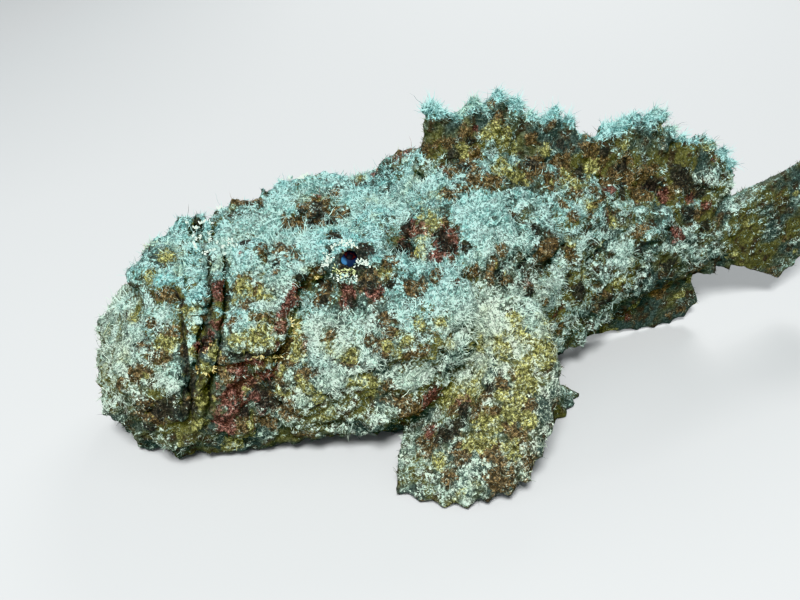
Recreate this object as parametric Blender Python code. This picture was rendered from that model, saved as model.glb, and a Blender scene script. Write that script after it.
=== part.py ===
"""Reef stonefish at rest on its belly, a life-size still model.

The body is one skin lofted through named stations and pressed into shape by named forms. The skin is
parted along the mouth, the gill openings and the root of the tail. Fins, eyes, lids, lip fringes and
warts are placed from the sizes of what they grow from. The nose points to -X and the left side to -Y.
"""

import math

import bmesh
import bpy
import numpy as np
from mathutils import Matrix, Vector

MM = 0.001  # every size below is in millimetres

# Main sizes: x runs back from the front of the chin, y out from the middle, z up from the floor.
TOTAL_LENGTH = 350.0
BODY_END = 292.0
PART_GAP = 0.4  # between two lengths of the body, along x
ROOT_GAP = 0.35  # between a fin and the skin that it grows from
AROUND = 36  # points round one section of the body

# The body's sections: x, half width, bottom, height of the widest line, top.
STATIONS = (
    (0, 0, 27, 27, 27),
    (2, 11, 18, 28, 35),
    (5, 18, 12, 29, 42),
    (10, 26, 6, 31, 51),
    (18, 33, 1, 34, 63),
    (26, 37, -2, 36, 73),
    (36, 40, -2, 38, 79.5),
    (50, 43, -2, 40, 81),
    (65, 46, -2, 42, 83.5),
    (82, 50, -2, 43, 85),
    (100, 54, -2, 43, 86),
    (120, 56, -2, 43, 89),
    (135, 55, -2, 43, 95),
    (150, 51, -2, 43, 100),
    (165, 45, -1, 44, 101),
    (180, 38, 2, 45, 98),
    (200, 30, 8, 46, 92),
    (220, 23, 15, 47, 85),
    (240, 17, 21, 47, 78),
    (260, 12.5, 25.5, 47, 72),
    (278, 9.5, 28.5, 47, 67),
    (BODY_END, 8, 30, 47, 64),
)
# How square the sections are, above and below the widest line: 2 is an ellipse.
SQUARE_X = (0, 40, 100, 150, 220, BODY_END)
SQUARE_ABOVE = (2.1, 2.3, 2.5, 2.2, 2.0, 2.0)
SQUARE_BELOW = (2.3, 2.6, 2.8, 2.5, 2.1, 2.0)

# Lines that part the body, seen from the side: where each stands at a height.
MOUTH_Z = (0, 22, 44, 62, 80)
MOUTH_X = (32, 30.5, 33, 39.5, 46)
MOUTH_RING = 39.5
MOUTH_REACH = 14.0
GILL_Z = (0, 25, 50, 70, 100)
GILL_X = (118, 131, 140, 138, 130)
GILL_RING = 138.0
GILL_REACH = 34.0
TAIL_RING = 225.0

# Forms pressed into or raised from the skin: from, to, reach, push. Each has its twin at -y.
FORMS = {
    "orbit": ((92, 29.5, 81), (102, 29.5, 81), 12, (0, 3, 7)),
    "brow": ((86, 23, 87), (106, 23, 88), 5, (0, 1, 2.5)),
    "between_the_eyes": ((80, 0, 86), (101, 0, 86), 12, (0, 0, -6)),
    "ridge_behind_the_eyes": ((112, 0, 88), (112, 22, 88), 6, (0, 0, 3)),
    "nape_pit": ((124, 0, 90), (124, 8, 90), 9, (0, 0, -3.5)),
    "nape_ridge": ((130, 24, 92), (152, 20, 97), 8, (0, 1, 3)),
    "front_temple_pit": ((118, 29, 86), (118, 31, 84), 6.5, (0, -3, -8)),
    "rear_temple_pit": ((135, 31, 87), (135, 33, 85), 6.5, (0, -3, -8)),
    "pit_below_the_eye": ((83, 42, 71), (89, 43, 69), 7, (0, -7, -2)),
    "knob_below_the_eye": ((96, 42, 68), (103, 43, 69), 5, (0, 1.5, 1)),
    "cheek_groove": ((84, 40, 78), (68, 47, 52), 5, (0, -7, -1.5)),
    "upper_jaw_plate": ((57, 38, 76), (59, 44, 62), 8, (0, 5.5, 0.5)),
    "jaw_corner_hollow": ((53, 46, 44), (60, 48, 30), 8, (0, -8, 0)),
    "jaw_corner_foot": ((56, 46, 24), (66, 47, 12), 7, (0, -4, 0)),
    "snout_ridge": ((60, 19, 84), (80, 23, 86), 7, (0, 1, 2.5)),
    "snout_furrow": ((54, 0, 82), (74, 0, 85), 8, (0, 0, -2.5)),
    "cheek_swell": ((86, 50, 56), (116, 55, 56), 13, (0, 4.5, 1.5)),
    "cheek_furrow": ((78, 50, 38), (118, 58, 40), 5, (0, -3.5, 0)),
    "cheek_knob_high": ((124, 54, 47), (124, 55, 47), 8, (0, 4, 0)),
    "cheek_knob_mid": ((114, 55, 33), (114, 56, 33), 8, (0, 4, 0)),
    "cheek_knob_low": ((98, 52, 22), (98, 53, 22), 8, (0, 4, 0)),
    "gill_cover_swell": ((126, 46, 75), (130, 52, 62), 8, (0, 4, 2)),
    "behind_the_eye_furrow": ((106, 43, 76), (122, 47, 74), 4.5, (0, -3, -2)),
    "jaw_tip_knob": ((29, 4, 77), (30, 12, 76), 8, (-3.5, 0, 1.5)),
    "jaw_side": ((12, 17, 50), (9, 19, 32), 13, (-1, 3, 0)),
    "chin_furrow": ((10, 0, 54), (2, 0, 30), 6, (1, 0, -0.5)),
    "shoulder_hump": ((152, 0, 101), (168, 0, 101), 16, (0, 0, 1.5)),
    "flank_hollow": ((172, 40, 62), (205, 28, 62), 11, (0, -2.5, 0)),
    "flank_ridge": ((170, 38, 80), (240, 15, 64), 7, (0, 2, 1)),
}
# Lips, by the distance behind the mouth line: where each ridge or groove runs, how wide, how high.
LIP_LINES = ((0, 1.8, -3.6), (3.4, 2.0, 1.6), (6.4, 1.6, -2.4), (-3.4, 2.4, 1.4))
LIP_FOOT = 40.0  # the height at which the lips fade out
LIP_RINGS = (2.0, 3.6, 5.0, 6.4, 8.2, 10.4, 12.6, 15.0)  # rings of points, on either side of the mouth line
# The groove before the lower lip runs into the mouth line low down: its height, its distance before it.
LOWER_GROOVE_Z = (24, 48, 63, 74)
LOWER_GROOVE_BEFORE = (2.5, 4.6, 6.8, 8.2)
LOWER_GROOVE = ((0, 1.8, -2.0),)
GILL_LINES = ((0, 2.6, -2.6), (-5, 3.5, 1.6))
GILL_TOP = 84.0

# Eyes
EYE_CENTRE = (96.0, 32.0, 81.0)
EYE_RADIUS = 5.8
EYE_LOOK = (-0.25, 0.72, 0.62)
LID_RADIUS, LID_THICK, LID_OUT = 5.7, 2.2, 2.4
NOSTRIL_CENTRES = ((64, 21, 85), (77, 26, 86))
NOSTRIL_RADIUS, NOSTRIL_HEIGHT = 2.3, 5.5

# Fringe of the lips
FRINGE_LENGTH, FRINGE_RADIUS, FRINGE_SINK = 4.2, 1.3, 2.2
FRINGE_LIP = 3.2  # distance of the fringe from the mouth line

# Broad swells of the skin, under the warts
SWELL_SEED = 12
SWELLS = 110
SWELL_REACH = (6.0, 10.0)
SWELL_HEIGHT = (-2.4, 3.4)
SWELL_OFF_EYE = (8.0, 16.0)  # the swells fade out this near to an eye

# Warts
WART_SEED = 41
WARTS = {"head": 34, "lower_jaw": 10, "torso": 26, "tail": 10}
WART_RADII = (3.2, 7.0)
WART_FLATNESS = 0.5
WART_FLOOR = 20.0  # the belly below this height has none

# Dorsal fin: one height above the back for each spine and soft ray
FIN_START, FIN_START_HEIGHT = 135.0, 6.0
SPINE_FIRST, SPINE_LAST = 142.0, 247.0
SPINE_HEIGHTS = (27, 27, 29, 21, 19, 23, 20, 15, 19, 26, 28, 26, 22)
SOFT_LAST = 280.0
SOFT_HEIGHTS = (25, 25, 24, 21, 18, 13)
LEAN_X = (142, 151, 170, 280)
DORSAL_LEAN = (-0.12, 0.22, 0.36, 0.5)  # how far a spine leans back for its height
DORSAL_SINK = 7.0
DORSAL_HALF = (5.4, 3.9, 1.4)  # half thickness at the back, near a spine's tip and in the web
DORSAL_WEB = 0.6  # height of the web between two spines
DORSAL_SWAY = 1.2  # how far the spines stand out of the middle plane

# Pectoral fin: its root on the shoulder, its margin and how it arches, from the top ray to the lowest
PECTORAL_RAYS = 14
PECTORAL_ROOT = ((143, 44, 66), (139, 46, 48), (132, 46, 28), (119, 40, 10))
PECTORAL_EDGE = ((163, 57, 61), (165, 71, 45), (157, 85, 22), (140, 92, 6), (119, 89, 1.4), (100, 74, 1.4))
PECTORAL_ARCH = ((3, 4, 3), (4, 6, 8), (4, 7, 12), (2, 8, 13), (0, 6, 9), (-2, 3, 5))
PECTORAL_HALF = (3.0, 0.9)

# Pelvic fin
PELVIC_RAYS = 6
PELVIC_ROOT = ((136, 26, 6), (150, 22, 5), (166, 18, 5))
PELVIC_EDGE = ((160, 58, 1.3), (180, 53, 1.3), (196, 40, 1.3))
PELVIC_ARCH = ((0, 2, 4), (0, 2, 4), (0, 2, 3))
PELVIC_HALF = (2.4, 0.9)

# Anal fin
ANAL_FIRST, ANAL_LAST = 214.0, 272.0
ANAL_HEIGHTS = (10, 13, 16, 20, 23, 24, 23, 18)
ANAL_LEAN = (0.45, 0.45)
ANAL_SINK = 6.0
ANAL_HALF = (3.0, 1.4, 0.9)
ANAL_WEB = 0.84

# Tail fin
TAIL_RAYS = 12
TAIL_ROOT_HALF, TAIL_HEIGHT_HALF, TAIL_ROUND = 15.0, 31.0, 24.0
TAIL_HALF = (6.0, 0.9)
TAIL_MIDDLE = 47.0

COLUMNS_PER_SPINE = 3
ROUND_SPINE = 0.36
FIN_ROWS = (0, 0.42, 0.7, 0.9, 1)
RAY_RIDGE = 0.55  # what a ray adds to a fin's half thickness, as a share
EDGE_NOTCH = 0.055  # how deep a fin's edge is notched between two rays

# Finish of each sub-part: colour and roughness
FINISH = {
    "head": ((0.50, 0.50, 0.42), 0.9),
    "lower_jaw": ((0.47, 0.48, 0.37), 0.9),
    "torso": ((0.46, 0.47, 0.38), 0.9),
    "tail": ((0.36, 0.34, 0.25), 0.9),
    "dorsal_fin": ((0.38, 0.34, 0.14), 0.9),
    "caudal_fin": ((0.34, 0.30, 0.20), 0.9),
    "anal_fin": ((0.33, 0.24, 0.16), 0.9),
    "pectoral_fin": ((0.52, 0.50, 0.30), 0.9),
    "pelvic_fin": ((0.40, 0.30, 0.20), 0.9),
    "eye": ((0.03, 0.05, 0.12), 0.2),
}


def curve(knots, values):
    """A smooth curve through the values at the knots that never overshoots them."""
    knots, values = np.asarray(knots, float), np.asarray(values, float)
    steps = np.diff(knots)
    slopes = np.diff(values) / steps
    tangents = np.zeros_like(values)
    tangents[0], tangents[-1] = slopes[0], slopes[-1]
    for i in range(1, len(knots) - 1):
        if slopes[i - 1] * slopes[i] > 0:
            before, after = steps[i - 1] + 2 * steps[i], 2 * steps[i - 1] + steps[i]
            tangents[i] = (before + after) / (before / slopes[i - 1] + after / slopes[i])

    def at(x):
        x = np.clip(np.asarray(x, float), knots[0], knots[-1])
        i = np.clip(np.searchsorted(knots, x, side="right") - 1, 0, len(steps) - 1)
        t = (x - knots[i]) / steps[i]
        rise = (3 - 2 * t) * t * t
        bend_in = t * (1 - t) ** 2 * tangents[i] * steps[i]
        bend_out = t * t * (1 - t) * tangents[i + 1] * steps[i]
        return values[i] + (values[i + 1] - values[i]) * rise + bend_in - bend_out

    return at


def route(points):
    """A smooth line through points in space, as a function of the share of the way along it."""
    points = np.asarray(points, float)
    shares = np.linspace(0, 1, len(points))
    axes = [curve(shares, points[:, k]) for k in range(3)]
    return lambda t: np.stack([axis(t) for axis in axes], axis=-1)


station_x = [row[0] for row in STATIONS]
half_width, bottom, widest, top = (curve(station_x, [row[k] for row in STATIONS]) for k in (1, 2, 3, 4))
square_above, square_below = curve(SQUARE_X, SQUARE_ABOVE), curve(SQUARE_X, SQUARE_BELOW)
mouth_line, gill_line = curve(MOUTH_Z, MOUTH_X), curve(GILL_Z, GILL_X)
groove_before = curve(LOWER_GROOVE_Z, LOWER_GROOVE_BEFORE)


def section(x, angle):
    """Points of the plain body at x; the angle is 0 on the back and grows towards +y."""
    side, rise = np.sin(angle), np.cos(angle)
    power = 2 / np.where(rise >= 0, square_above(x), square_below(x))
    y = half_width(x) * np.sign(side) * np.abs(side) ** power
    reach = np.where(rise >= 0, top(x) - widest(x), widest(x) - bottom(x))
    z = widest(x) + reach * np.sign(rise) * np.abs(rise) ** power
    return np.stack([x + 0 * angle, y, z], axis=-1)


def ring_places():
    """Nominal x of each ring of points: close at the lips and gills, wide on the tail."""
    chin = [0.7, 2.2, 4.5, 7.5, 11, 15, 19.5]
    lips = [MOUTH_RING + d for d in (*(-step for step in reversed(LIP_RINGS)), 0, *LIP_RINGS)]
    head = list(np.linspace(58, GILL_RING - 3, 22))
    gills = [GILL_RING]
    torso = list(np.linspace(GILL_RING + 4, TAIL_RING, 15))
    tail = list(np.linspace(TAIL_RING, BODY_END, 10))[1:]
    return np.array(chin + lips + head + gills + torso + tail)


def push_forms(points):
    """Presses every named form, and its twin on the other side, into the points."""
    moved = points.copy()
    for start, end, reach, push in FORMS.values():
        share = {}
        for side in (1, -1):
            mirror = np.array([1, side, 1])
            a, b = np.array(start) * mirror, np.array(end) * mirror
            along = b - a
            t = np.clip(((points - a) @ along) / max(along @ along, 1e-9), 0, 1)
            away = np.linalg.norm(points - a - t[..., None] * along, axis=-1)
            share[side] = np.exp(-((away / reach) ** 2))
        for side in (1, -1):
            moved += share[side][..., None] * np.array(push) * np.array([1, side, 1])
    return moved


def outward(points):
    """Unit vectors out of the skin at each point of its rings."""
    along = np.gradient(points, axis=0)
    around = np.roll(points, -1, axis=1) - np.roll(points, 1, axis=1)
    normal = np.cross(along, around)
    return normal / np.maximum(np.linalg.norm(normal, axis=-1, keepdims=True), 1e-9)


def fade(value, start, end):
    """0 before start, 1 after end, smooth between."""
    t = np.clip((value - start) / (end - start), 0, 1)
    return t * t * (3 - 2 * t)


def push_lines(points, line, ridges, shown):
    """Raises ridges and cuts grooves that run beside a line of the side view."""
    behind = points[..., 0] - line(points[..., 2])
    normal = outward(points)
    for place, width, height in ridges:
        share = np.exp(-(((behind - place) / width) ** 2)) * shown
        points = points + share[..., None] * height * normal
    return points


def lower_groove_line(z):
    return mouth_line(z) - groove_before(z)


def push_swells(points):
    """Raises and sinks broad swells strewn over the skin, off the eyes and above the belly."""
    normal, draw = outward(points), np.random.default_rng(SWELL_SEED)
    moved = points.copy()
    from_eye = np.linalg.norm(points * [1, 0, 1] + abs(points[..., 1:2]) * [0, 1, 0] - EYE_CENTRE, axis=-1)
    off_eye = fade(from_eye, *SWELL_OFF_EYE)
    for _ in range(SWELLS):
        i, k = draw.integers(2, points.shape[0] - 3), draw.integers(0, AROUND)
        reach, height = draw.uniform(*SWELL_REACH), draw.uniform(*SWELL_HEIGHT)
        away = np.linalg.norm(points - points[i, k], axis=-1) / reach
        slim = fade(half_width(points[i, k, 0]), 4, 30)
        moved += (height * (0.35 + 0.65 * slim) * off_eye * np.exp(-(away**2)))[..., None] * normal
    return moved


def body_rings():
    """The body's skin as rings of points, shaped, and resting on the floor."""
    places = ring_places()[:, None]
    angle = (np.arange(AROUND) * 2 * math.pi / AROUND)[None, :]
    x = places + 0 * angle
    for _ in range(4):  # the rings lean to follow the mouth and gill lines
        z = np.maximum(section(x, angle)[..., 2], 0)
        at_mouth = np.exp(-(((places - MOUTH_RING) / MOUTH_REACH) ** 2))
        at_gill = np.exp(-(((places - GILL_RING) / GILL_REACH) ** 2))
        x = places + at_mouth * (mouth_line(z) - MOUTH_RING) + at_gill * (gill_line(z) - GILL_RING)
    points = push_swells(push_forms(section(x, angle)))
    z = points[..., 2]
    lips_shown = fade(z, LIP_FOOT - 14, LIP_FOOT + 2)
    points = push_lines(points, mouth_line, LIP_LINES, lips_shown)
    points = push_lines(points, lower_groove_line, LOWER_GROOVE, lips_shown)
    points = push_lines(points, gill_line, GILL_LINES, fade(z, 4, 16) * (1 - fade(z, GILL_TOP - 8, GILL_TOP)))
    points[..., 2] = np.maximum(points[..., 2], 0)
    return points


def to_metres(points):
    """From sizes behind the chin to the model's own frame, centred on its length."""
    return (np.asarray(points, float) - np.array([TOTAL_LENGTH / 2, 0, 0])) * MM


def new_object(name, vertices, faces):
    mesh = bpy.data.meshes.new(name)
    mesh.from_pydata([tuple(v) for v in vertices], [], faces)
    mesh.validate()
    obj = bpy.data.objects.new(name, mesh)
    bpy.context.scene.collection.objects.link(obj)
    return obj


def tube_faces(rings, around, start=0):
    """Quads between neighbouring rings of points, as two triangles each, facing out."""
    faces = []
    for i in range(rings - 1):
        for k in range(around):
            a = start + i * around + k
            b = start + i * around + (k + 1) % around
            faces += [(a, a + around, b + around), (a, b + around, b)]
    return faces


def closed_rings(name, points, front, back):
    """A solid through rings of points, closed by a fan of triangles to a point at each end."""
    rings, around = points.shape[:2]
    vertices = np.concatenate([points.reshape(-1, 3), [front, back]])
    faces = tube_faces(rings, around)
    first, last = rings * around, rings * around + 1
    for k in range(around):
        n = (k + 1) % around
        faces.append((first, k, n))
        faces.append((last, (rings - 1) * around + n, (rings - 1) * around + k))
    return new_object(name, to_metres(vertices), faces)


def body_lengths(points):
    """The lower jaw, head, torso and tail, each a solid of its own."""
    places = ring_places()
    cuts = [int(np.argmin(np.abs(places - ring))) for ring in (MOUTH_RING, GILL_RING, TAIL_RING)]
    names = ("lower_jaw", "head", "torso", "tail")
    bounds = [0, *cuts, len(places) - 1]
    half_gap = np.array([PART_GAP / 2, 0, 0])
    lengths = {}
    for name, start, end in zip(names, bounds, bounds[1:]):
        rings = points[start : end + 1].copy()
        front, back = rings[0].mean(axis=0), rings[-1].mean(axis=0)
        if start:
            rings[0] += half_gap
            front += half_gap
        else:
            front = np.array([0, 0, widest(0)])
        if end != bounds[-1]:
            rings[-1] -= half_gap
            back -= half_gap
        lengths[name] = closed_rings(name, rings, front, back)
    return lengths


def evaluated_mesh(obj):
    graph = bpy.context.evaluated_depsgraph_get()
    return bpy.data.meshes.new_from_object(obj.evaluated_get(graph))


def apply_modifiers(obj):
    mesh = evaluated_mesh(obj)
    obj.modifiers.clear()
    old, obj.data = obj.data, mesh
    bpy.data.meshes.remove(old)


def remove(objects):
    for obj in list(objects):
        bpy.data.objects.remove(obj)


def keep_largest(obj):
    """Keeps only the largest closed surface of a mesh."""
    mesh = bmesh.new()
    mesh.from_mesh(obj.data)
    left, shells = set(mesh.faces), []
    while left:
        shell, edge_of = set(), [left.pop()]
        while edge_of:
            face = edge_of.pop()
            shell.add(face)
            for edge in face.edges:
                for other in edge.link_faces:
                    if other in left:
                        left.remove(other)
                        edge_of.append(other)
        shells.append(shell)
    shells.sort(key=lambda shell: sum(face.calc_area() for face in shell))
    drop = [face for shell in shells[:-1] for face in shell]
    bmesh.ops.delete(mesh, geom=drop, context="FACES")
    bmesh.ops.triangulate(mesh, faces=mesh.faces[:])
    mesh.to_mesh(obj.data)
    mesh.free()


def boolean(obj, others, operation):
    """Joins the other closed meshes to the object, or cuts them from it, and removes them."""
    group = bpy.data.collections.new(obj.name + "_pieces")
    bpy.context.scene.collection.children.link(group)
    for other in others:
        for old in list(other.users_collection):
            old.objects.unlink(other)
        group.objects.link(other)
    modifier = obj.modifiers.new("Pieces", "BOOLEAN")
    modifier.operation = operation
    modifier.solver = "EXACT"
    modifier.use_self = operation == "UNION"
    modifier.operand_type = "COLLECTION"
    modifier.collection = group
    apply_modifiers(obj)
    remove(others)
    bpy.data.collections.remove(group)
    keep_largest(obj)


def frame_along(direction):
    """A turn that takes +Z to the direction."""
    return Vector(direction).normalized().to_track_quat("Z", "Y").to_matrix().to_4x4()


def placed(name, mesh, centre, direction, scale=(1, 1, 1)):
    """A primitive in a bmesh, scaled in millimetres, turned to a direction and set at a place."""
    size = Matrix.Diagonal((*(s * MM for s in scale), 1))
    turn = Matrix.Translation(Vector(to_metres(centre))) @ frame_along(direction)
    mesh.transform(turn @ size)
    data = bpy.data.meshes.new(name)
    mesh.to_mesh(data)
    mesh.free()
    obj = bpy.data.objects.new(name, data)
    bpy.context.scene.collection.objects.link(obj)
    return obj


def ball(name, centre, direction, scale, segments, rings):
    mesh = bmesh.new()
    bmesh.ops.create_uvsphere(mesh, u_segments=segments, v_segments=rings, radius=1)
    return placed(name, mesh, centre, direction, scale)


def dome(name, foot, direction, radius, height, segments=7):
    """A low wart: a short drum with a rounded top, sunk below its foot by a third of its height."""
    mesh = bmesh.new()
    bmesh.ops.create_cone(mesh, cap_ends=True, segments=segments, radius1=1, radius2=0.72, depth=0.95)
    crown = max(mesh.faces, key=lambda face: face.calc_center_median().z)
    bmesh.ops.poke(mesh, faces=[crown], offset=0.38)
    bmesh.ops.translate(mesh, verts=mesh.verts, vec=(0, 0, 0.15))
    return placed(name, mesh, foot, direction, (radius, radius, height))


def cone(name, foot, direction, radius, tip_radius, length, segments=6):
    """A tapered stub whose foot is at a place and whose tip lies along the direction."""
    mesh = bmesh.new()
    bmesh.ops.create_cone(
        mesh, cap_ends=True, segments=segments, radius1=radius, radius2=tip_radius, depth=length
    )
    bmesh.ops.translate(mesh, verts=mesh.verts, vec=(0, 0, length / 2))
    return placed(name, mesh, foot, direction)


def torus(name, centre, direction, radius, thick, segments=14, sides=6):
    """A ring round the direction."""
    centre_line = np.linspace(0, 2 * math.pi, segments, endpoint=False)
    round_it = np.linspace(0, 2 * math.pi, sides, endpoint=False)
    u, v = np.meshgrid(centre_line, round_it, indexing="ij")
    out = radius + thick * np.cos(v)
    points = np.stack([out * np.cos(u), out * np.sin(u), thick * np.sin(v)], axis=-1).reshape(-1, 3)
    faces = []
    for i in range(segments):
        for k in range(sides):
            a, b = i * sides, (i + 1) % segments * sides
            n = (k + 1) % sides
            faces.append((a + k, b + k, b + n, a + n))
    mesh = bmesh.new()
    corners = [mesh.verts.new(tuple(p)) for p in points]
    for face in faces:
        mesh.faces.new([corners[i] for i in face])
    return placed(name, mesh, centre, direction)


def plate(name, middle, half, side):
    """A thin fin through a grid of middle points, as thick as told, split alike on both faces.

    The grid runs along the root first and from root to edge second.
    """
    columns, rows = middle.shape[:2]
    thick = half[..., None] * side
    faces_up, faces_down = middle + thick, middle - thick
    for face in (faces_up, faces_down):
        face[..., 2] = np.maximum(face[..., 2], 0)
    count = columns * rows
    vertices = np.concatenate([faces_up.reshape(-1, 3), faces_down.reshape(-1, 3)])
    faces = []
    for i in range(columns - 1):
        for j in range(rows - 1):
            a, b = i * rows + j, (i + 1) * rows + j
            for tri in ((a, b, b + 1), (a, b + 1, a + 1)):
                faces.append(tri)
                faces.append(tuple(count + v for v in reversed(tri)))
    rim = [i * rows for i in range(columns)]
    rim += [(columns - 1) * rows + j for j in range(1, rows)]
    rim += [i * rows + rows - 1 for i in range(columns - 2, -1, -1)]
    rim += list(range(rows - 2, 0, -1))
    for a, b in zip(rim, rim[1:] + rim[:1]):
        faces += [(b, a, count + a), (b, count + a, count + b)]
    obj = new_object(name, to_metres(vertices), faces)
    mesh = bmesh.new()
    mesh.from_mesh(obj.data)
    bmesh.ops.recalc_face_normals(mesh, faces=mesh.faces)
    mesh.to_mesh(obj.data)
    mesh.free()
    return obj


def ray_pattern(rays, per_ray):
    """Each column's share of the way from the first ray to the last, and 1 on a ray, 0 between two."""
    columns = (rays - 1) * per_ray + 1
    share = np.linspace(0, 1, columns)
    phase = np.arange(columns) % per_ray / per_ray
    return share, 0.5 + 0.5 * np.cos(2 * math.pi * phase)


def surface_side(middle):
    """Unit vectors across a fin's middle surface."""
    across = np.cross(np.gradient(middle, axis=0), np.gradient(middle, axis=1))
    return across / np.maximum(np.linalg.norm(across, axis=-1, keepdims=True), 1e-9)


def fan_fin(name, rays, root, edge, arch, halves, rows=6, per_ray=2):
    """A fin spread from a root line to an edge line, arched between, with raised rays and a notched edge."""
    share, on_ray = ray_pattern(rays, per_ray)
    start, end, bow = route(root)(share), route(edge)(share), route(arch)(share)
    reach = 1 - EDGE_NOTCH * (1 - on_ray)
    s = np.linspace(0, 1, rows)[None, :] * reach[:, None]
    middle = start[:, None] + (end - start)[:, None] * s[..., None]
    middle = middle + bow[:, None] * np.sin(math.pi * s)[..., None]
    half = halves[0] + (halves[1] - halves[0]) * s**0.7
    half = half * (1 + RAY_RIDGE * on_ray[:, None])
    return plate(name, middle, half, surface_side(middle))


def upright_fin(name, places, feet, heights, halves, lean, sink, down, web, sway=0.0):
    """A fin in the middle plane, from its foot to the tips of its spines, with a lower web between."""
    columns = (len(places) - 1) * COLUMNS_PER_SPINE + 1
    at = np.arange(columns) / COLUMNS_PER_SPINE
    spine = np.arange(len(places))
    x, foot, tip = (np.interp(at, spine, values) for values in (places, feet, heights))
    on_spine = (0.5 + 0.5 * np.cos(2 * math.pi * at)) ** ROUND_SPINE
    height = tip * (web + (1 - web) * on_spine)
    s = np.array(FIN_ROWS)[None, :]
    rise = -sink + (height + sink)[:, None] * s
    middle_x = x[:, None] + lean(x)[:, None] * np.maximum(rise, 0)
    middle_z = foot[:, None] + (-1 if down else 1) * rise
    bend = sway * np.sin(2.1 * at + 0.6 * np.sin(at))
    middle = np.stack([middle_x, bend[:, None] * s, middle_z], axis=-1)
    base, near_tip, in_web = halves
    edge = in_web + (near_tip - in_web) * on_spine[:, None]
    half = base + (edge - base) * s**0.7
    half = half * np.where(s == 1, 0.45, 1)
    side = np.zeros_like(middle)
    side[..., 1] = 1
    return plate(name, middle, half, side)


def mirrored(points):
    return tuple((x, -y, z) for x, y, z in points)


def inflated_body(points):
    """A copy of the whole skin, a little larger, that fins are cut clear of."""
    grown = points + outward(points) * ROOT_GAP
    grown[..., 2] = np.where(points[..., 2] <= 0, -1.0, grown[..., 2])
    front = np.array([-ROOT_GAP, 0, widest(0)])
    grown[-1, :, 0] = BODY_END + ROOT_GAP
    return closed_rings("inflated_body", grown, front, grown[-1].mean(axis=0))


def dorsal_fin():
    spines = np.linspace(SPINE_FIRST, SPINE_LAST, len(SPINE_HEIGHTS))
    soft = np.linspace(SPINE_LAST, SOFT_LAST, len(SOFT_HEIGHTS) + 1)[1:]
    places = np.concatenate([[FIN_START], spines, soft])
    heights = (FIN_START_HEIGHT, *SPINE_HEIGHTS, *SOFT_HEIGHTS)
    lean = curve(LEAN_X, DORSAL_LEAN)
    return upright_fin(
        "dorsal_fin",
        places,
        top(places),
        heights,
        DORSAL_HALF,
        lean,
        DORSAL_SINK,
        down=False,
        web=DORSAL_WEB,
        sway=DORSAL_SWAY,
    )


def anal_fin():
    places = np.linspace(ANAL_FIRST, ANAL_LAST, len(ANAL_HEIGHTS))
    lean = curve((ANAL_FIRST, ANAL_LAST), ANAL_LEAN)
    return upright_fin(
        "anal_fin", places, bottom(places), ANAL_HEIGHTS, ANAL_HALF, lean, ANAL_SINK, down=True, web=ANAL_WEB
    )


def caudal_fin():
    share, on_ray = ray_pattern(TAIL_RAYS, 2)
    across = 1 - 2 * share
    root_x = 0 * across + BODY_END + PART_GAP
    start = np.stack([root_x, 0 * across, TAIL_MIDDLE + TAIL_ROOT_HALF * across], axis=-1)
    tip_x = TOTAL_LENGTH - TAIL_ROUND * across**2
    end = np.stack([tip_x, 0 * across, TAIL_MIDDLE + TAIL_HEIGHT_HALF * across], axis=-1)
    reach = 1 - EDGE_NOTCH * (1 - on_ray)
    s = np.linspace(0, 1, 7)[None, :] * reach[:, None]
    middle = start[:, None] + (end - start)[:, None] * s[..., None]
    half = TAIL_HALF[1] + (TAIL_HALF[0] - TAIL_HALF[1]) * (1 - s) ** 2.6
    half = half * (1 + RAY_RIDGE * on_ray[:, None] * np.minimum(1, 4 * s))
    side = np.zeros_like(middle)
    side[..., 1] = 1
    return plate("caudal_fin", middle, half, side)


def lip_fringe(points, behind):
    """Small fleshy points along one lip, at a distance behind the mouth line."""
    normal = outward(points)
    places = ring_places()
    ring = int(np.argmin(np.abs(places - (MOUTH_RING + behind))))
    fringe = []
    for k in range(AROUND):
        foot, out = points[ring, k], normal[ring, k]
        if foot[2] < LIP_FOOT + 4:
            continue
        direction = out + np.array([-0.55 * math.copysign(1, behind), 0, 0.15 * math.sin(5 * k)])
        length = FRINGE_LENGTH * (0.8 + 0.25 * math.sin(2.7 * k + behind))
        root = foot - out * FRINGE_SINK
        fringe.append(cone("fringe", root, direction, FRINGE_RADIUS, 0.5, length + FRINGE_SINK, segments=5))
    return fringe


def nostrils():
    stubs = []
    for side in (1, -1):
        for x, y, z in NOSTRIL_CENTRES:
            foot, up = np.array([x, side * y, z - 3.0]), (0, 0.35 * side, 1)
            stubs.append(cone("nostril", foot, up, NOSTRIL_RADIUS, 1.3, NOSTRIL_HEIGHT, segments=7))
    return stubs


def lids():
    rims = []
    for side in (1, -1):
        mirror = np.array([1, side, 1])
        look = np.array(EYE_LOOK) * mirror / np.linalg.norm(EYE_LOOK)
        centre = np.array(EYE_CENTRE) * mirror + look * LID_OUT
        rims.append(torus("lid", centre, look, LID_RADIUS, LID_THICK))
    return rims


def eyeballs(name, radius, segments=16, rings=10):
    """The left and right eyeball, or what cuts their sockets."""
    balls = {}
    for which, side in (("left", -1), ("right", 1)):
        mirror = np.array([1, side, 1])
        balls[which] = ball(
            f"{name}_{which}",
            np.array(EYE_CENTRE) * mirror,
            np.array(EYE_LOOK) * mirror,
            (radius,) * 3,
            segments,
            rings,
        )
    return balls


def near_any(place, others, reach):
    return any(np.linalg.norm(place - other) < reach for other in others)


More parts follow.
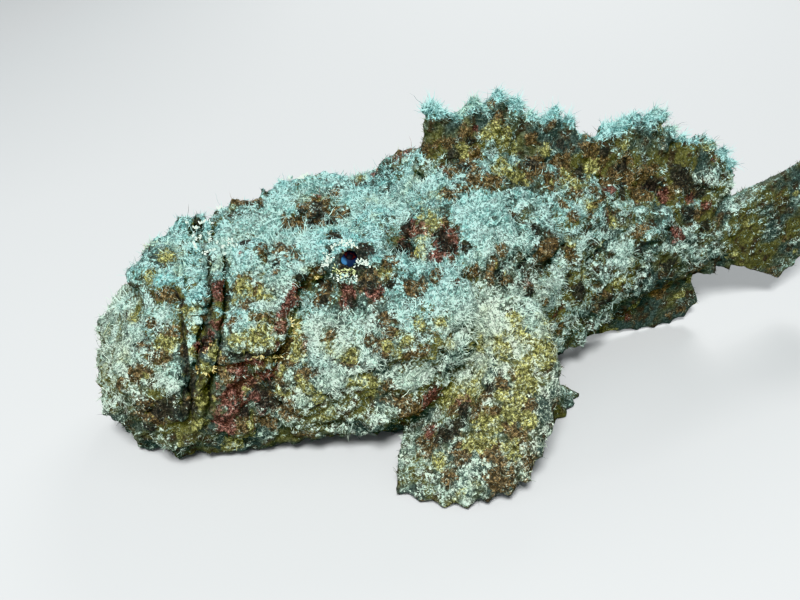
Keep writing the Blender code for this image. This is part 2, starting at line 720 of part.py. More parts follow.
def keep_off(place, radius):
    """Whether a wart at this place would lie on the lips, an eye, a fin's root or a parting line."""
    x, y, z = place
    room = radius + 2.0
    if z < WART_FLOOR or abs(x - TAIL_RING) < room or x > BODY_END - 10:
        return True
    if abs(x - float(mouth_line(z))) < 13 or abs(x - float(gill_line(z))) < room + 3.5:
        return True
    if near_any(np.array([x, abs(y), z]), [np.array(EYE_CENTRE)], 13 + radius):
        return True
    if FIN_START - 6 < x < SOFT_LAST + 6 and abs(y) < radius + 8 and z > 50:
        return True
    if ANAL_FIRST - 4 < x < ANAL_LAST + 6 and abs(y) < radius + 7 and z < 47:
        return True
    root = route(PECTORAL_ROOT)(np.linspace(0, 1, 12))
    return near_any(np.array([x, abs(y), z]), list(root), 16 + radius) or (140 < x < 172 and z < 66)


def warts(points):
    """Domes of many sizes strewn over each length of the body."""
    normal = outward(points)
    draw = np.random.default_rng(WART_SEED)
    bounds = {
        "lower_jaw": (0, 45),
        "head": (34, 139),
        "torso": (130, TAIL_RING),
        "tail": (TAIL_RING, BODY_END),
    }
    found = {}
    for name, count in WARTS.items():
        low, high = bounds[name]
        set_down, domes = [], []
        for _ in range(count * 60):
            if len(domes) == count:
                break
            i, k = draw.integers(1, points.shape[0] - 1), draw.integers(0, AROUND)
            size = draw.uniform(0, 1)
            place, out = points[i, k], normal[i, k]
            behind_mouth = place[0] > float(mouth_line(place[2]))
            before_gill = place[0] < float(gill_line(place[2]))
            owner = "lower_jaw" if not behind_mouth else "head" if before_gill else "torso"
            if owner == "torso" and place[0] > TAIL_RING:
                owner = "tail"
            slim = 0.7 if name == "tail" else 1.0
            radius = slim * (WART_RADII[0] + (WART_RADII[1] - WART_RADII[0]) * size**2)
            if owner != name or not low < place[0] < high or keep_off(place, radius):
                continue
            if near_any(place, set_down, 9.5 + radius):
                continue
            set_down.append(place)
            domes.append(dome("wart", place, out, radius, WART_FLATNESS * radius))
        found[name] = domes
    return found


def finish(obj, kind):
    """Smooth shading and the sub-part's own material."""
    colour, roughness = FINISH[kind]
    material = bpy.data.materials.new(obj.name + "_skin")
    material.use_nodes = True
    shader = material.node_tree.nodes["Principled BSDF"]
    shader.inputs["Base Color"].default_value = (*colour, 1)
    shader.inputs["Roughness"].default_value = roughness
    shader.inputs["Metallic"].default_value = 0.0
    obj.data.materials.clear()
    obj.data.materials.append(material)
    obj.data.shade_smooth()
    obj.data.set_sharp_from_angle(angle=math.radians(50))


def build():
    remove(bpy.data.objects)
    fish = bpy.data.collections.new("stonefish")
    points = body_rings()
    lengths = body_lengths(points)
    domes = warts(points)

    sockets = eyeballs("socket", EYE_RADIUS + ROOT_GAP)
    boolean(lengths["head"], domes["head"] + lip_fringe(points, FRINGE_LIP) + nostrils() + lids(), "UNION")
    boolean(lengths["head"], list(sockets.values()), "DIFFERENCE")
    boolean(lengths["lower_jaw"], domes["lower_jaw"] + lip_fringe(points, -FRINGE_LIP), "UNION")
    boolean(lengths["torso"], domes["torso"], "UNION")
    boolean(lengths["tail"], domes["tail"], "UNION")

    fins = {"dorsal_fin": dorsal_fin(), "anal_fin": anal_fin()}
    for which, turn in (("left", mirrored), ("right", tuple)):
        pectoral, pelvic = f"pectoral_fin_{which}", f"pelvic_fin_{which}"
        fins[pectoral] = fan_fin(
            pectoral,
            PECTORAL_RAYS,
            turn(PECTORAL_ROOT),
            turn(PECTORAL_EDGE),
            turn(PECTORAL_ARCH),
            PECTORAL_HALF,
        )
        fins[pelvic] = fan_fin(
            pelvic, PELVIC_RAYS, turn(PELVIC_ROOT), turn(PELVIC_EDGE), turn(PELVIC_ARCH), PELVIC_HALF
        )
    for fin in fins.values():
        boolean(fin, [inflated_body(points)], "DIFFERENCE")
    fins["caudal_fin"] = caudal_fin()
    eyes = {f"eye_{which}": obj for which, obj in eyeballs("eye", EYE_RADIUS).items()}

    bpy.context.scene.collection.children.link(fish)
    for name, obj in {**lengths, **fins, **eyes}.items():
        kind = name.removesuffix("_left").removesuffix("_right")
        finish(obj, kind)
        for old in list(obj.users_collection):
            old.objects.unlink(obj)
        fish.objects.link(obj)


build()
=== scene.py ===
"""Looks of the reef stonefish: one overgrown skin, dark blue eyes, tufts of fingers and a turf of algae."""

import math

import bmesh
import bpy
import numpy as np
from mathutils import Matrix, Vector
from mathutils.bvhtree import BVHTree


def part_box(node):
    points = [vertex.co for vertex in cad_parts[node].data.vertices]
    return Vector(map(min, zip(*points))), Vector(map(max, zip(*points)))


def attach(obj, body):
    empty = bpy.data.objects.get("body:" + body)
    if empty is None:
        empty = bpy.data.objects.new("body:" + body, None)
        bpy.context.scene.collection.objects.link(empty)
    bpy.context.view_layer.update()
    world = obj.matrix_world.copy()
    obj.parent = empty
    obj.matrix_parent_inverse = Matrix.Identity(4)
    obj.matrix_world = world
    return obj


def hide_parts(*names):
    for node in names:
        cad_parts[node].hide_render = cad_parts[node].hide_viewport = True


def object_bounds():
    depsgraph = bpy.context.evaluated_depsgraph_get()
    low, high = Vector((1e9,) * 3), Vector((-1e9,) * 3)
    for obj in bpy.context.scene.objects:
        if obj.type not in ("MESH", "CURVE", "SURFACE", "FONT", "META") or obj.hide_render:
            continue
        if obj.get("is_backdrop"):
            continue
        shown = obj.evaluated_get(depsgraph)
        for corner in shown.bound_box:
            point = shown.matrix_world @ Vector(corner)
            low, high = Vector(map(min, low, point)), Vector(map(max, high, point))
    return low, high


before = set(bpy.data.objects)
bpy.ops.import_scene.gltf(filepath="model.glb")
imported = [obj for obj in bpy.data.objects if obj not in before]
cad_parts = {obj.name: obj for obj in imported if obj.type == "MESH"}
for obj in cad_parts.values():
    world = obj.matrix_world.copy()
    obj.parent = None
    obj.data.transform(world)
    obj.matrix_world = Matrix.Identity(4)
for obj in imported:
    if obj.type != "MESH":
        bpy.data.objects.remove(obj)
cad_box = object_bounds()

MM = 0.001
CHIN = cad_box[0][0]  # x of the front of the chin
EYES = ("eye_left", "eye_right")
FLESH = [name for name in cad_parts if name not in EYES]
BODY = ("lower_jaw", "head", "torso", "tail")
UP = np.array([0.0, 0.0, 1.0])
LENGTH = (cad_box[1][0] - cad_box[0][0]) / MM

# Camera
VIEW_AZIMUTH, VIEW_ELEVATION = math.radians(-19.0), math.radians(30.5)
VIEW_TARGET, VIEW_DISTANCE = (127.0, 0.0, 40.5), 414.0  # from the chin, in millimetres
VIEW_ANGLE = math.radians(45.0)
PICTURE_MIDDLE = (400, 300)  # of this view, in its pixels

# Lights and what is round the fish, in metres and watts
LIGHTS = (  # name, place, size, power
    ("key", (-0.35, -0.70, 0.90), 0.30, 33),
    ("fill", (-0.7, -0.9, 0.4), 0.8, 6.5),
    ("back", (0.5, 0.9, 0.8), 0.7, 18),
)
WORLD_COLOUR, WORLD_STRENGTH = (0.85, 0.93, 1.0, 1), 0.36
FLOOR_COLOUR, FLOOR_REACH = (0.34, 0.35, 0.35, 1), 3.0

# Eyes, in millimetres, with directions from the middle of the left one
EYE_RADIUS, EYE_BULGE = 5.8, 0.04  # the bulge as a share of the radius
IRIS_AXIS = (-0.41, -0.66, 0.63)
# The way the iris's lighter crescent of painted light faces
CRESCENT_AXIS = (-0.70, -0.66, 0.34)
PUPIL_AXIS = (-0.08, -0.57, 0.82)
OVER_EYE, LID_NEARER = (0.165, 0.480, 0.861), 1.6  # the way to the lid, and how much nearer things grow there

# Distances from the eye's middle over which each comes in, or the dark ring of painted shade round the eye
# goes out
LUMPS_FROM_EYE, SILT_FROM_EYE, TURF_FROM_EYE = (6.2, 9.5), (6.4, 8.6), (6.6, 9.0)
DARK_ROUND_EYE = (6.4, 8.2)

# Skin, in millimetres
VOXEL = 0.85
SEAL = 0.3  # the parts are grown by this much so that they join
SOFTEN, SOFTEN_TIMES = 0.5, 4  # takes the steps off the joined skin
# How much of the lumps' height each thin part has, and the deepest that they are pressed in
THIN = {"dorsal_fin": 0.9, "pectoral_fin_left": 0.3, "pectoral_fin_right": 0.3, "caudal_fin": 0.25}
THIN_OTHER, THIN_DEEPEST = 0.25, -0.5
LUMPS = ((14.0, 1.7, 1), (6.5, 1.3, 2), (2.8, 1.0, 3))  # size, height, seed
WARTS = ((11.0, 0.46, 2.1, 4), (5.5, 0.45, 1.2, 5))  # spacing, radius as a share of it, height, seed
WARTY_AREA = 22.0  # the size of the areas with and without warts
LUMPS_FROM_FLOOR = (0.5, 6)  # the height over which the lumps come in

# Furrows and ridges of the skin: points on the left side, half width, height
FURROWS = (
    (((83, -33, 80), (77, -38, 70), (67, -45, 57)), 2.6, -2.0),  # behind the upper jaw plate
    (((48, -42, 55), (57, -46, 54.5), (68, -45, 56)), 1.5, -2.8),  # under the plate's edge
    (((49, -43, 59.5), (58, -46, 59), (67, -45, 60.5)), 2.4, 1.8),  # the plate's edge
    (((55, -42, 42), (57, -42, 32)), 7.0, -2.4),  # recess behind the mouth's corner
    (((127, -24, 89), (126, -35, 79)), 3.0, 1.6),  # strip between the temple pits
    (((104, -44, 71), (112, -47, 70), (124, -50, 74)), 3.0, -1.8),  # furrow behind the eye
    (((72, -48, 50), (86, -52, 40), (104, -56, 34)), 4.0, -0.5),  # furrow along the cheek
    (((88, -53, 46), (100, -56.5, 49), (112, -60, 53)), 3.0, 1.3),  # swell over it
    (((78, -50, 40), (98, -54.5, 40), (118, -58, 41)), 4.5, 2.2),  # fills most of the furrow
    (((96, -56, 22), (112, -57, 28), (124, -54, 36)), 4.0, 1.4),  # swell under it
    (((150, -47, 74), (178, -35, 66), (208, -26, 58)), 5.0, -1.5),  # flank
)
MOUTH_Z, MOUTH_X = (0, 22, 44, 62, 80), (32, 30.5, 33, 39.5, 46)  # the line of the mouth
MOUTH_WANDERS, MOUTH_WAVE = 1.2, 7.0  # how far the line strays from it, and over what length
LIPS = (  # distance behind the mouth line, half width, height, and the height where it fades out
    (0.0, 0.8, -1.3, 30),
    (3.0, 1.7, 1.6, 34),
    (-3.0, 1.6, 1.2, 34),
    (6.4, 0.8, -1.5, 30),
)
GROOVE_Z, GROOVE_BEFORE = (24, 47, 57, 65, 71, 76), (2.5, 3.1, 4.8, 6.7, 9.1, 11.3)  # before the lower lip
GROOVE_WIDTH, GROOVE_DEPTH = 1.0, -1.7
FILLED_BEFORE, FILLED_WIDTH, FILLED_HEIGHT = 8.0, 1.7, 1.5  # where the solids' groove is filled, near its top

# Patches of colour: radius, and where they show from the camera, across and down the picture, in its pixels
PIXEL = 0.43  # millimetres of the near side to a pixel
TWIN_FROM = 12.0  # a patch this far off the middle, in millimetres, has a twin on the far side
YELLOW_PATCHES = {
    4: ((318, 277), (145, 377), (195, 330), (185, 312), (196, 308), (194, 352)),
    5: ((212, 345), (230, 368), (255, 366), (291, 330), (437, 342), (625, 145), (620, 281), (316, 279),
        (352, 352), (388, 345), (262, 388), (280, 372), (216, 356)),
    6: ((275, 345), (252, 290), (420, 247), (450, 345), (470, 345), (420, 325), (297, 330), (398, 352),
        (160, 340), (352, 384)),
    7: ((150, 276), (204, 370), (293, 318), (318, 397), (424, 234), (424, 218), (371, 391), (462, 150),
        (480, 372), (205, 392), (236, 300), (419, 252), (440, 322), (170, 345), (133, 318)),
    8: ((232, 342), (262, 337), (283, 391), (305, 388), (437, 225), (515, 318), (450, 388), (445, 406),
        (500, 395), (548, 150), (520, 180), (262, 328), (275, 330), (296, 322), (421, 240), (423, 228),
        (432, 219), (405, 340), (330, 350), (512, 450)),
    9: ((166, 256), (205, 402), (245, 385), (525, 335), (545, 363), (524, 368), (365, 380), (490, 131),
        (505, 137), (512, 150), (503, 166), (518, 173), (575, 185), (440, 462), (526, 420), (590, 168),
        (262, 296), (372, 384), (300, 352), (366, 379)),
    10: ((203, 425), (548, 350), (268, 340)),
    11: ((480, 345), (470, 392), (510, 412), (475, 442), (245, 288), (240, 340), (255, 338), (525, 386)),
    12: ((485, 428), (500, 168), (500, 350)),
}
BROWN_PATCHES = {
    5: ((277, 270), (158, 296), (425, 288), (458, 283), (450, 337), (185, 350), (205, 318)),
    6: ((233, 322), (262, 325), (285, 315), (505, 281), (545, 302), (396, 262), (385, 318), (560, 328),
        (552, 125), (250, 278), (222, 362), (205, 300), (370, 340), (300, 378)),
    7: ((304, 286), (437, 277), (490, 105), (258, 296), (408, 357), (395, 335), (152, 322), (282, 365),
        (190, 400), (205, 395), (515, 376), (495, 412)),
    8: ((282, 325), (120, 385), (172, 296), (412, 285), (470, 272), (495, 262), (490, 275), (530, 286),
        (445, 250), (500, 120), (530, 138), (605, 295), (238, 288), (234, 322), (258, 318), (248, 302),
        (286, 222), (575, 215), (590, 215), (296, 256), (350, 360), (330, 335), (500, 250), (172, 330),
        (258, 366), (486, 397), (530, 406), (510, 426), (470, 398)),
    9: ((340, 213), (334, 196), (312, 275), (295, 302), (285, 345), (387, 265), (452, 170), (625, 160),
        (445, 145), (640, 230), (480, 170), (452, 176), (268, 372), (240, 280), (270, 318), (445, 190),
        (460, 190), (380, 292), (415, 255), (565, 205), (365, 285), (446, 222), (292, 360), (305, 372),
        (590, 205), (420, 352), (385, 345), (275, 405), (500, 386)),
    10: ((301, 208), (570, 257), (470, 132), (325, 292), (474, 180), (498, 178), (522, 176), (402, 400),
         (225, 372), (232, 382), (228, 394), (532, 460), (318, 222), (700, 215), (490, 184), (560, 185),
         (300, 345), (570, 195), (610, 215), (282, 250), (140, 345), (280, 380), (286, 396), (270, 420)),
    11: ((150, 350), (548, 180), (573, 178), (600, 184), (628, 180), (655, 182), (682, 184), (288, 412),
         (256, 292), (298, 218), (262, 246)),
    12: ((140, 372), (480, 411), (590, 150), (560, 165), (600, 165), (660, 290), (410, 415), (240, 402),
         (240, 425), (420, 408), (520, 434), (452, 476), (455, 408), (455, 172), (470, 160), (575, 190),
         (600, 192), (640, 190), (665, 192), (695, 190), (388, 276)),
    13: ((305, 223), (322, 204), (548, 250), (375, 276), (252, 378), (490, 455), (330, 212), (372, 280),
         (158, 352)),
    14: ((250, 425), (390, 390), (272, 396), (500, 474), (535, 165), (615, 174), (645, 176)),
    15: ((430, 440), (460, 452), (470, 165), (560, 170), (312, 210)),
    18: ((150, 415),),
}
RED_PATCHES = {
    4: ((240, 252),),
    5: ((217, 292), (206, 338), (438, 390), (475, 128)),
    6: ((381, 290), (610, 190), (220, 296), (211, 332), (202, 346)),
    7: ((213, 323), (345, 303), (427, 402), (705, 205), (270, 370), (218, 286), (205, 340), (284, 312),
        (279, 345)),
    8: ((252, 362), (430, 430), (648, 188), (662, 197), (680, 235), (215, 325), (296, 290), (290, 302),
        (280, 330), (264, 408)),
    9: ((352, 293), (372, 293), (690, 198), (432, 396), (450, 232), (262, 376)),
    10: ((404, 242), (440, 252), (450, 250), (405, 252), (246, 380), (256, 395), (242, 410)),
    11: ((240, 366), (236, 406)),
    12: ((412, 232), (446, 238)),
    13: ((232, 390),),
    14: ((225, 421), (409, 238)),
    15: ((442, 246),),
}
# Dark patches: some are dark growth, and some are painted shadow, such as those behind the pectoral fin's
# upper edge
DARK_PATCHES = {
    3: ((196, 243), (365, 205)),
    4: ((205, 245), (330, 250)),
    5: ((184, 325), (212, 262), (237, 238), (246, 241), (326, 298), (232, 353), (268, 353), (370, 272),
        (258, 356), (276, 355), (240, 356), (470, 140), (275, 265), (362, 283)),
    6: ((186, 370), (335, 236), (270, 384), (278, 400), (465, 248), (560, 145), (250, 353), (490, 388),
        (304, 214), (540, 270), (284, 388), (488, 160), (605, 150), (236, 243), (318, 206), (302, 278),
        (390, 285)),
    7: ((405, 225), (405, 250), (531, 295), (465, 165), (620, 166), (530, 165), (580, 172), (300, 214),
        (400, 250), (412, 250), (310, 222), (440, 236), (372, 285)),
    8: ((188, 410), (535, 230), (465, 412), (450, 155), (640, 250), (262, 388), (246, 412), (243, 241),
        (408, 236), (448, 246), (620, 190), (405, 245), (322, 216), (332, 222)),
    9: ((366, 251), (190, 386), (265, 405)),
    10: ((148, 428), (445, 436), (578, 293), (670, 265), (610, 300), (690, 215), (705, 225)),
    11: ((360, 262),),
    12: ((165, 408), (455, 426), (650, 185), (690, 185), (680, 175), (700, 190)),
}
# Pale patches: some are pale crust, and some are painted light on skin that faces down, such as on the
# cheek's lower slopes
PALE_PATCHES = {
    7: ((168, 241), (620, 275), (345, 282), (375, 240), (430, 262), (197, 300), (196, 320), (193, 340),
        (190, 360), (200, 285), (204, 350), (540, 372)),
    8: ((116, 372), (530, 118), (590, 232), (565, 195), (195, 235), (300, 386), (420, 375), (285, 284),
        (270, 300), (255, 308), (235, 315), (203, 335), (145, 302), (515, 350)),
    9: ((118, 350), (165, 315), (245, 311), (466, 110), (612, 129), (700, 265), (240, 250), (212, 246),
        (330, 385), (505, 362), (440, 365), (300, 268), (640, 215)),
    10: ((510, 235), (660, 175), (345, 374), (415, 352), (365, 365), (150, 345), (560, 262), (645, 252),
         (570, 235), (660, 245), (415, 325)),
    11: ((290, 281), (165, 386), (625, 256), (475, 355), (482, 362)),
    12: ((140, 328), (225, 231), (300, 362), (400, 312), (540, 215), (400, 335), (360, 360), (460, 330),
         (515, 205), (465, 380), (448, 345), (350, 384), (325, 360), (600, 225), (580, 245), (625, 240),
         (415, 380), (390, 375), (470, 215), (640, 235), (345, 335)),
    13: ((252, 262), (270, 305), (430, 103), (492, 340)),
    14: ((560, 275), (430, 180), (380, 345), (310, 345), (500, 330), (380, 225), (462, 338), (452, 360),
         (335, 372), (420, 340), (430, 365), (440, 300), (455, 330), (400, 215)),
    15: ((445, 305), (450, 322)),
    16: ((440, 320), (360, 330), (490, 212)),
    17: ((320, 330),),
    18: ((300, 240), (335, 352), (480, 230), (350, 190), (360, 185)),
    20: ((500, 225),),
    24: ((380, 200),),
    26: ((470, 300),),
    28: ((400, 200),),
}
PATCHES = {
    "yellow": YELLOW_PATCHES,
    "brown": BROWN_PATCHES,
    "red": RED_PATCHES,
    "dark": DARK_PATCHES,
    "pale": PALE_PATCHES,
}
# How much of the silt each kind of patch hides
HIDES_SILT = {"dark": 0.76, "red": 0.78, "brown": 0.68, "yellow": 0.50}
FIN_COLUMN = 4.0  # the dorsal fin's foot and edge are found for each stretch of this length

# Noise that breaks up the markings: size in millimetres, seed, layers
RAGGED_BROAD, RAGGED_FINE = (6.0, 71, 2), (2.0, 73, 2)
SILT_BROAD, SILT_FINE, SILT_STREAKS = (24.0, 80, 3), (9.0, 81, 2), (4.5, 83, 2)
SPOTTED, CRUST_AND_TOP_LIGHT_NOISE, OLIVE = (9.0, 90, 2), (12.0, 93, 2), (15.0, 95, 2)
REDDISH, WARM, CLUMPED = (11.0, 97, 2), (16.0, 99, 2), (2.4, 120, 2)

# Tufts of fingers: darkest and palest colour, longest finger, and where each tuft shows, with its count
FINGERS = {
    "cream": ((0.08, 0.11, 0.04, 1), (0.52, 0.56, 0.30, 1), 1.6, (
        (336, 270, 10), (340, 272, 12), (344, 270, 10), (348, 272, 12), (352, 270, 10), (355, 272, 8),
    )),
    "white": ((0.12, 0.20, 0.17, 1), (0.80, 0.88, 0.78, 1), 1.6, (
        (359, 263, 14), (363, 262, 14), (367, 265, 9), (338, 279, 6), (344, 281, 7), (350, 280, 7),
        (356, 278, 5), (334, 276, 5), (340, 276, 4), (347, 277, 4), (326, 262, 26), (328, 259, 24),
        (327, 256, 12), (324, 265, 12), (330, 257, 8), (333, 247, 8), (342, 243, 12), (348, 244, 14),
        (354, 245, 8), (195, 240, 10), (201, 237, 10), (209, 241, 12), (217, 244, 12), (224, 247, 10),
        (213, 250, 9), (222, 254, 9), (204, 253, 9), (230, 240, 9), (236, 246, 8), (197, 248, 8),
        (207, 233, 8),
    )),
    "amber": ((0.16, 0.11, 0.03, 1), (0.54, 0.50, 0.24, 1), 2.1, (
        (255, 356, 7), (261, 356, 8), (267, 357, 8), (273, 357, 8), (279, 357, 7), (198, 371, 9),
        (206, 373, 9), (213, 368, 7), (291, 322, 8), (297, 326, 8), (293, 331, 6), (316, 277, 6),
        (207, 352, 6), (211, 345, 5),
    )),
}
FINGER_SEED = 23
FINGER_SPREAD, FINGER_HALF, FINGER_RINGS = 0.6, (0.26, 0.44), 4

# Turf: how many filaments, their lengths, half thickness, how they stand and curl, and rings of vertices
TURF_SEED = 7
TURFS = {
    "turf_short": (70000, (0.8, 2.4), 0.125, 0.28, 1.2, 3),
    "turf_long": (12000, (1.2, 3.2), 0.12, 0.55, 1.6, 5),
    "turf_curly": (150, (2.0, 3.6), 0.12, 0.8, 2.0, 8),
}
PER_PIECE = 7000  # filaments in one mesh
WAVE, WAVE_TURN = 0.16, 9  # how far a filament of many rings winds, as a share of its length, and the angle
WAVE_STEP = 0.618  # of a turn, from one filament to the next
TAPER = 0.6
SUNK = 0.25  # how deep the roots are in the skin, in millimetres
ABOVE_FLOOR = 0.0002  # the lowest that a filament goes, in metres
LEAST_RISE, LEAST_BEND = 0.12, -0.1  # how far a filament heads, and bends, away from the skin at least
FLOW_SIZE, FLOW_SEED = 8.0, 200  # the size of the areas where filaments lean the same way

# Colour map: the body rolled out, over it a row of the fins' fronts and a row of their backs
MAP_EDGE, MAP_WIDTH = 0.01, 0.98
BODY_MIDDLE, BODY_ON_MAP = 42, 0.56
FLAT_FIN = 20  # a fin lower than this is laid out as seen from above
FRONT_ON_MAP, BACK_ON_MAP, FIN_ON_MAP = 0.60, 0.80, 0.18
PATCH = 0.0015  # half the width of a filament's own place on the colour map


def from_chin(points):
    """Millimetres from the front of the chin to the frame's metres."""
    return np.asarray(points, float) * MM + np.array([CHIN, 0, 0])


def to_chin(points):
    return (points - np.array([CHIN, 0, 0])) / MM


def eye_centre(name):
    low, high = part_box(name)
    return to_chin((np.array(low) + np.array(high)) / 2)


EYE_PLACES = {name: eye_centre(name) for name in EYES}


# Noise that is the same each run


def hashed(cells, seed):
    """A number from 0 to 1 for each whole-number cell."""
    c = cells.astype(np.int64).astype(np.uint64)
    h = c[..., 0] * np.uint64(73856093) ^ c[..., 1] * np.uint64(19349663) ^ c[..., 2] * np.uint64(83492791)
    h = (h ^ np.uint64(seed * 977 + 13)) & np.uint64(0xFFFFFFFF)
    for shift, factor in ((15, 2246822519), (13, 3266489917)):
        h = ((h ^ (h >> np.uint64(shift))) * np.uint64(factor)) & np.uint64(0xFFFFFFFF)
    return (h ^ (h >> np.uint64(16))).astype(float) / 4294967296.0


def noise(points, seed):
    """Smooth noise from -1 to 1, one cell to a unit."""
    low = np.floor(points)
    t = points - low
    t = t * t * t * (t * (6 * t - 15) + 10)
    total = np.zeros(len(points))
    for corner in np.ndindex(2, 2, 2):
        weight = np.prod(np.where(np.array(corner) == 1, t, 1 - t), axis=1)
        total += weight * hashed(low + corner, seed)
    return 2 * total - 1


def layered(points, size, seed, octaves=3):
    """Noise with finer noise over it."""
    total, share = 0, 1.0
    for k in range(octaves):
        total = total + share * noise(points / size * 2**k + 17.3 * k, seed + 31 * k)
        share *= 0.5
    return total


def bumps(points, spacing, radius, seed):
    """Round-topped bumps strewn one to a cell, from 0 to 1."""
    p = points / spacing
    low = np.floor(p)
    best = np.zeros(len(p))
    for step in np.ndindex(3, 3, 3):
        cell = low + np.array(step) - 1
        centre = cell + np.stack([hashed(cell, seed + k) for k in range(3)], axis=1)
        reach = radius * (0.45 + 0.75 * hashed(cell, seed + 5))
        away = np.linalg.norm(p - centre, axis=1) / reach
        best = np.maximum(best, np.sqrt(np.clip(1 - away * away, 0, 1)) * reach / radius)
    return best


def fade(value, start, end):
    t = np.clip((value - start) / (end - start), 0, 1)
    return t * t * (3 - 2 * t)


def away_from_line(points, line):
    """Distance of each point from a line of points."""
    line = np.asarray(line, float)
    best = np.full(len(points), 1e9)
    for a, b in zip(line, line[1:]):
        along = b - a
        t = np.clip((points - a) @ along / (along @ along), 0, 1)
        best = np.minimum(best, np.linalg.norm(points - a - t[:, None] * along, axis=1))
    return best


def bell(away, width):
    """1 on a line, falling off to both sides of it."""
    return np.exp(-((away / width) ** 2))


def unit(vectors):
    return vectors / np.maximum(np.linalg.norm(vectors, axis=-1, keepdims=True), 1e-12)


def left_side(points):
    """The points folded over to the left side, where the furrows and patches are given."""
    folded = points.copy()
    folded[:, 1] = -np.abs(folded[:, 1])
    return folded


# Skin


def flesh_mesh():
    """The frame's fleshy parts in one mesh, grown a little so that they join, and each face's part."""
    whole, owners = bmesh.new(), []
    for index, name in enumerate(FLESH):
        part = bmesh.new()
        part.from_mesh(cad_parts[name].data)
        bmesh.ops.remove_doubles(part, verts=part.verts, dist=1e-6)
        part.normal_update()
        for vertex in part.verts:
            vertex.co += vertex.normal * SEAL * MM
        mesh = bpy.data.meshes.new("part")
        part.to_mesh(mesh)
        owners += [index] * len(part.faces)
        whole.from_mesh(mesh)
        part.free()
        bpy.data.meshes.remove(mesh)
    return whole, np.array(owners)


def new_piece(name, mesh):
    piece = bpy.data.objects.new(name, mesh)
    bpy.context.scene.collection.objects.link(piece)
    return piece


def applied(piece):
    """The piece's mesh with its modifiers applied."""
    graph = bpy.context.evaluated_depsgraph_get()
    mesh = bpy.data.meshes.new_from_object(piece.evaluated_get(graph))
    piece.modifiers.clear()
    piece.data = mesh
    return mesh


def read(items, field, width, kind=float):
    """A field of a mesh's items, a row to each."""
    values = np.empty(len(items) * width, kind)
    items.foreach_get(field, values)
    return values.reshape(-1, width)


def coordinates(mesh):
    return read(mesh.vertices, "co", 3)


def normals(mesh):
    return read(mesh.vertex_normals, "vector", 3)


def triangles(mesh):
    mesh.calc_loop_triangles()
    return read(mesh.loop_triangles, "vertices", 3, int)


def drop_loose(mesh):
    """Keeps the largest connected surface."""
    edges = read(mesh.edges, "vertices", 2, int)
    label = np.arange(len(mesh.vertices))
    while True:
        low = np.minimum(label[edges[:, 0]], label[edges[:, 1]])
        fresh = label.copy()
        np.minimum.at(fresh, edges[:, 0], low)
        np.minimum.at(fresh, edges[:, 1], low)
        fresh = fresh[fresh]
        if np.array_equal(fresh, label):
            break
        label = fresh
    names, counts = np.unique(label, return_counts=True)
    if len(names) == 1:
        return
    keep = names[np.argmax(counts)]
    whole = bmesh.new()
    whole.from_mesh(mesh)
    whole.verts.ensure_lookup_table()
    drop = [whole.verts[i] for i in np.flatnonzero(label != keep)]
    bmesh.ops.delete(whole, geom=drop, context="VERTS")
    whole.to_mesh(mesh)
    whole.free()


def owners_of(points, flesh, owners):
    """Which flesh part of the frame each point is nearest to."""
    tree = BVHTree.FromBMesh(flesh)
    return np.array([owners[tree.find_nearest(Vector(p))[2]] for p in points])


def sculpted(points, owner):
    """How far each point of the skin is raised, in millimetres."""
    p = to_chin(points)
    side = left_side(p)
    flesh = np.array([1.0 if n in BODY else THIN.get(n, THIN_OTHER) for n in FLESH])[owner]
    lift = np.zeros(len(p))
    for size, height, seed in LUMPS:
        lift += height * layered(p, size, seed, 2) * flesh
    for spacing, radius, height, seed in WARTS:
        shown = fade(noise(p / WARTY_AREA, seed + 50), -0.4, 0.3)
        lift += height * bumps(p, spacing, radius, seed) * flesh * shown
    for line, width, height in FURROWS:
        lift += height * bell(away_from_line(side, line), width)
    for height, amount in lip_forms(p):
        lift += height * amount
    lift = np.where(flesh < 1, np.maximum(lift, THIN_DEEPEST), lift)
    from_eye = np.linalg.norm(side - EYE_PLACES["eye_left"], axis=1)
    return lift * fade(from_eye, *LUMPS_FROM_EYE) * fade(p[:, 2], *LUMPS_FROM_FLOOR)


def build_skin():
    """The one skin over all the flesh, the part that each point is of, and how far it was raised."""
    flesh, owners = flesh_mesh()
    mesh = bpy.data.meshes.new("skin")
    flesh.to_mesh(mesh)
    skin = new_piece("skin", mesh)
    remesh = skin.modifiers.new("Join", "REMESH")
    remesh.mode = "VOXEL"
    remesh.voxel_size = VOXEL * MM
    remesh.use_smooth_shade = True
    smooth = skin.modifiers.new("Soften", "SMOOTH")
    smooth.factor, smooth.iterations = SOFTEN, SOFTEN_TIMES
    mesh = applied(skin)
    drop_loose(mesh)
    points = coordinates(mesh)
    owner = owners_of(points, flesh, owners)
    flesh.free()
    lift = sculpted(points, owner)
    moved = points + normals(mesh) * (lift * MM)[:, None]
    moved[:, 2] = np.maximum(moved[:, 2], 0.0)
    mesh.vertices.foreach_set("co", moved.ravel())
    mesh.update()
    return skin, owner, lift


# Markings


def seen_at(tree, across, down):
    """Where the camera sees the skin at a place in the picture, in millimetres, and the way it faces."""
    camera = bpy.context.scene.camera.matrix_world
    middle_across, middle_down = PICTURE_MIDDLE
    reach = middle_across / math.tan(VIEW_ANGLE / 2)
    way = camera.to_3x3() @ Vector(((across - middle_across) / reach, (middle_down - down) / reach, -1))
    hit, normal, _, _ = tree.ray_cast(camera.translation, way.normalized())
    if hit is None:
        return None, None
    return to_chin(np.array(hit)), np.array(normal)


def patch_places(tree, kind):
    """The places of a kind of patch, with a twin on the far side for those that lie well off the middle."""
    places = []
    for radius, spots in PATCHES[kind].items():
        for across, down in spots:
            place, _ = seen_at(tree, across, down)
            if place is None:
                continue
            places.append((place, radius * PIXEL))
            if place[1] < -TWIN_FROM:
                places.append((place * [1, -1, 1], radius * PIXEL))
    return places


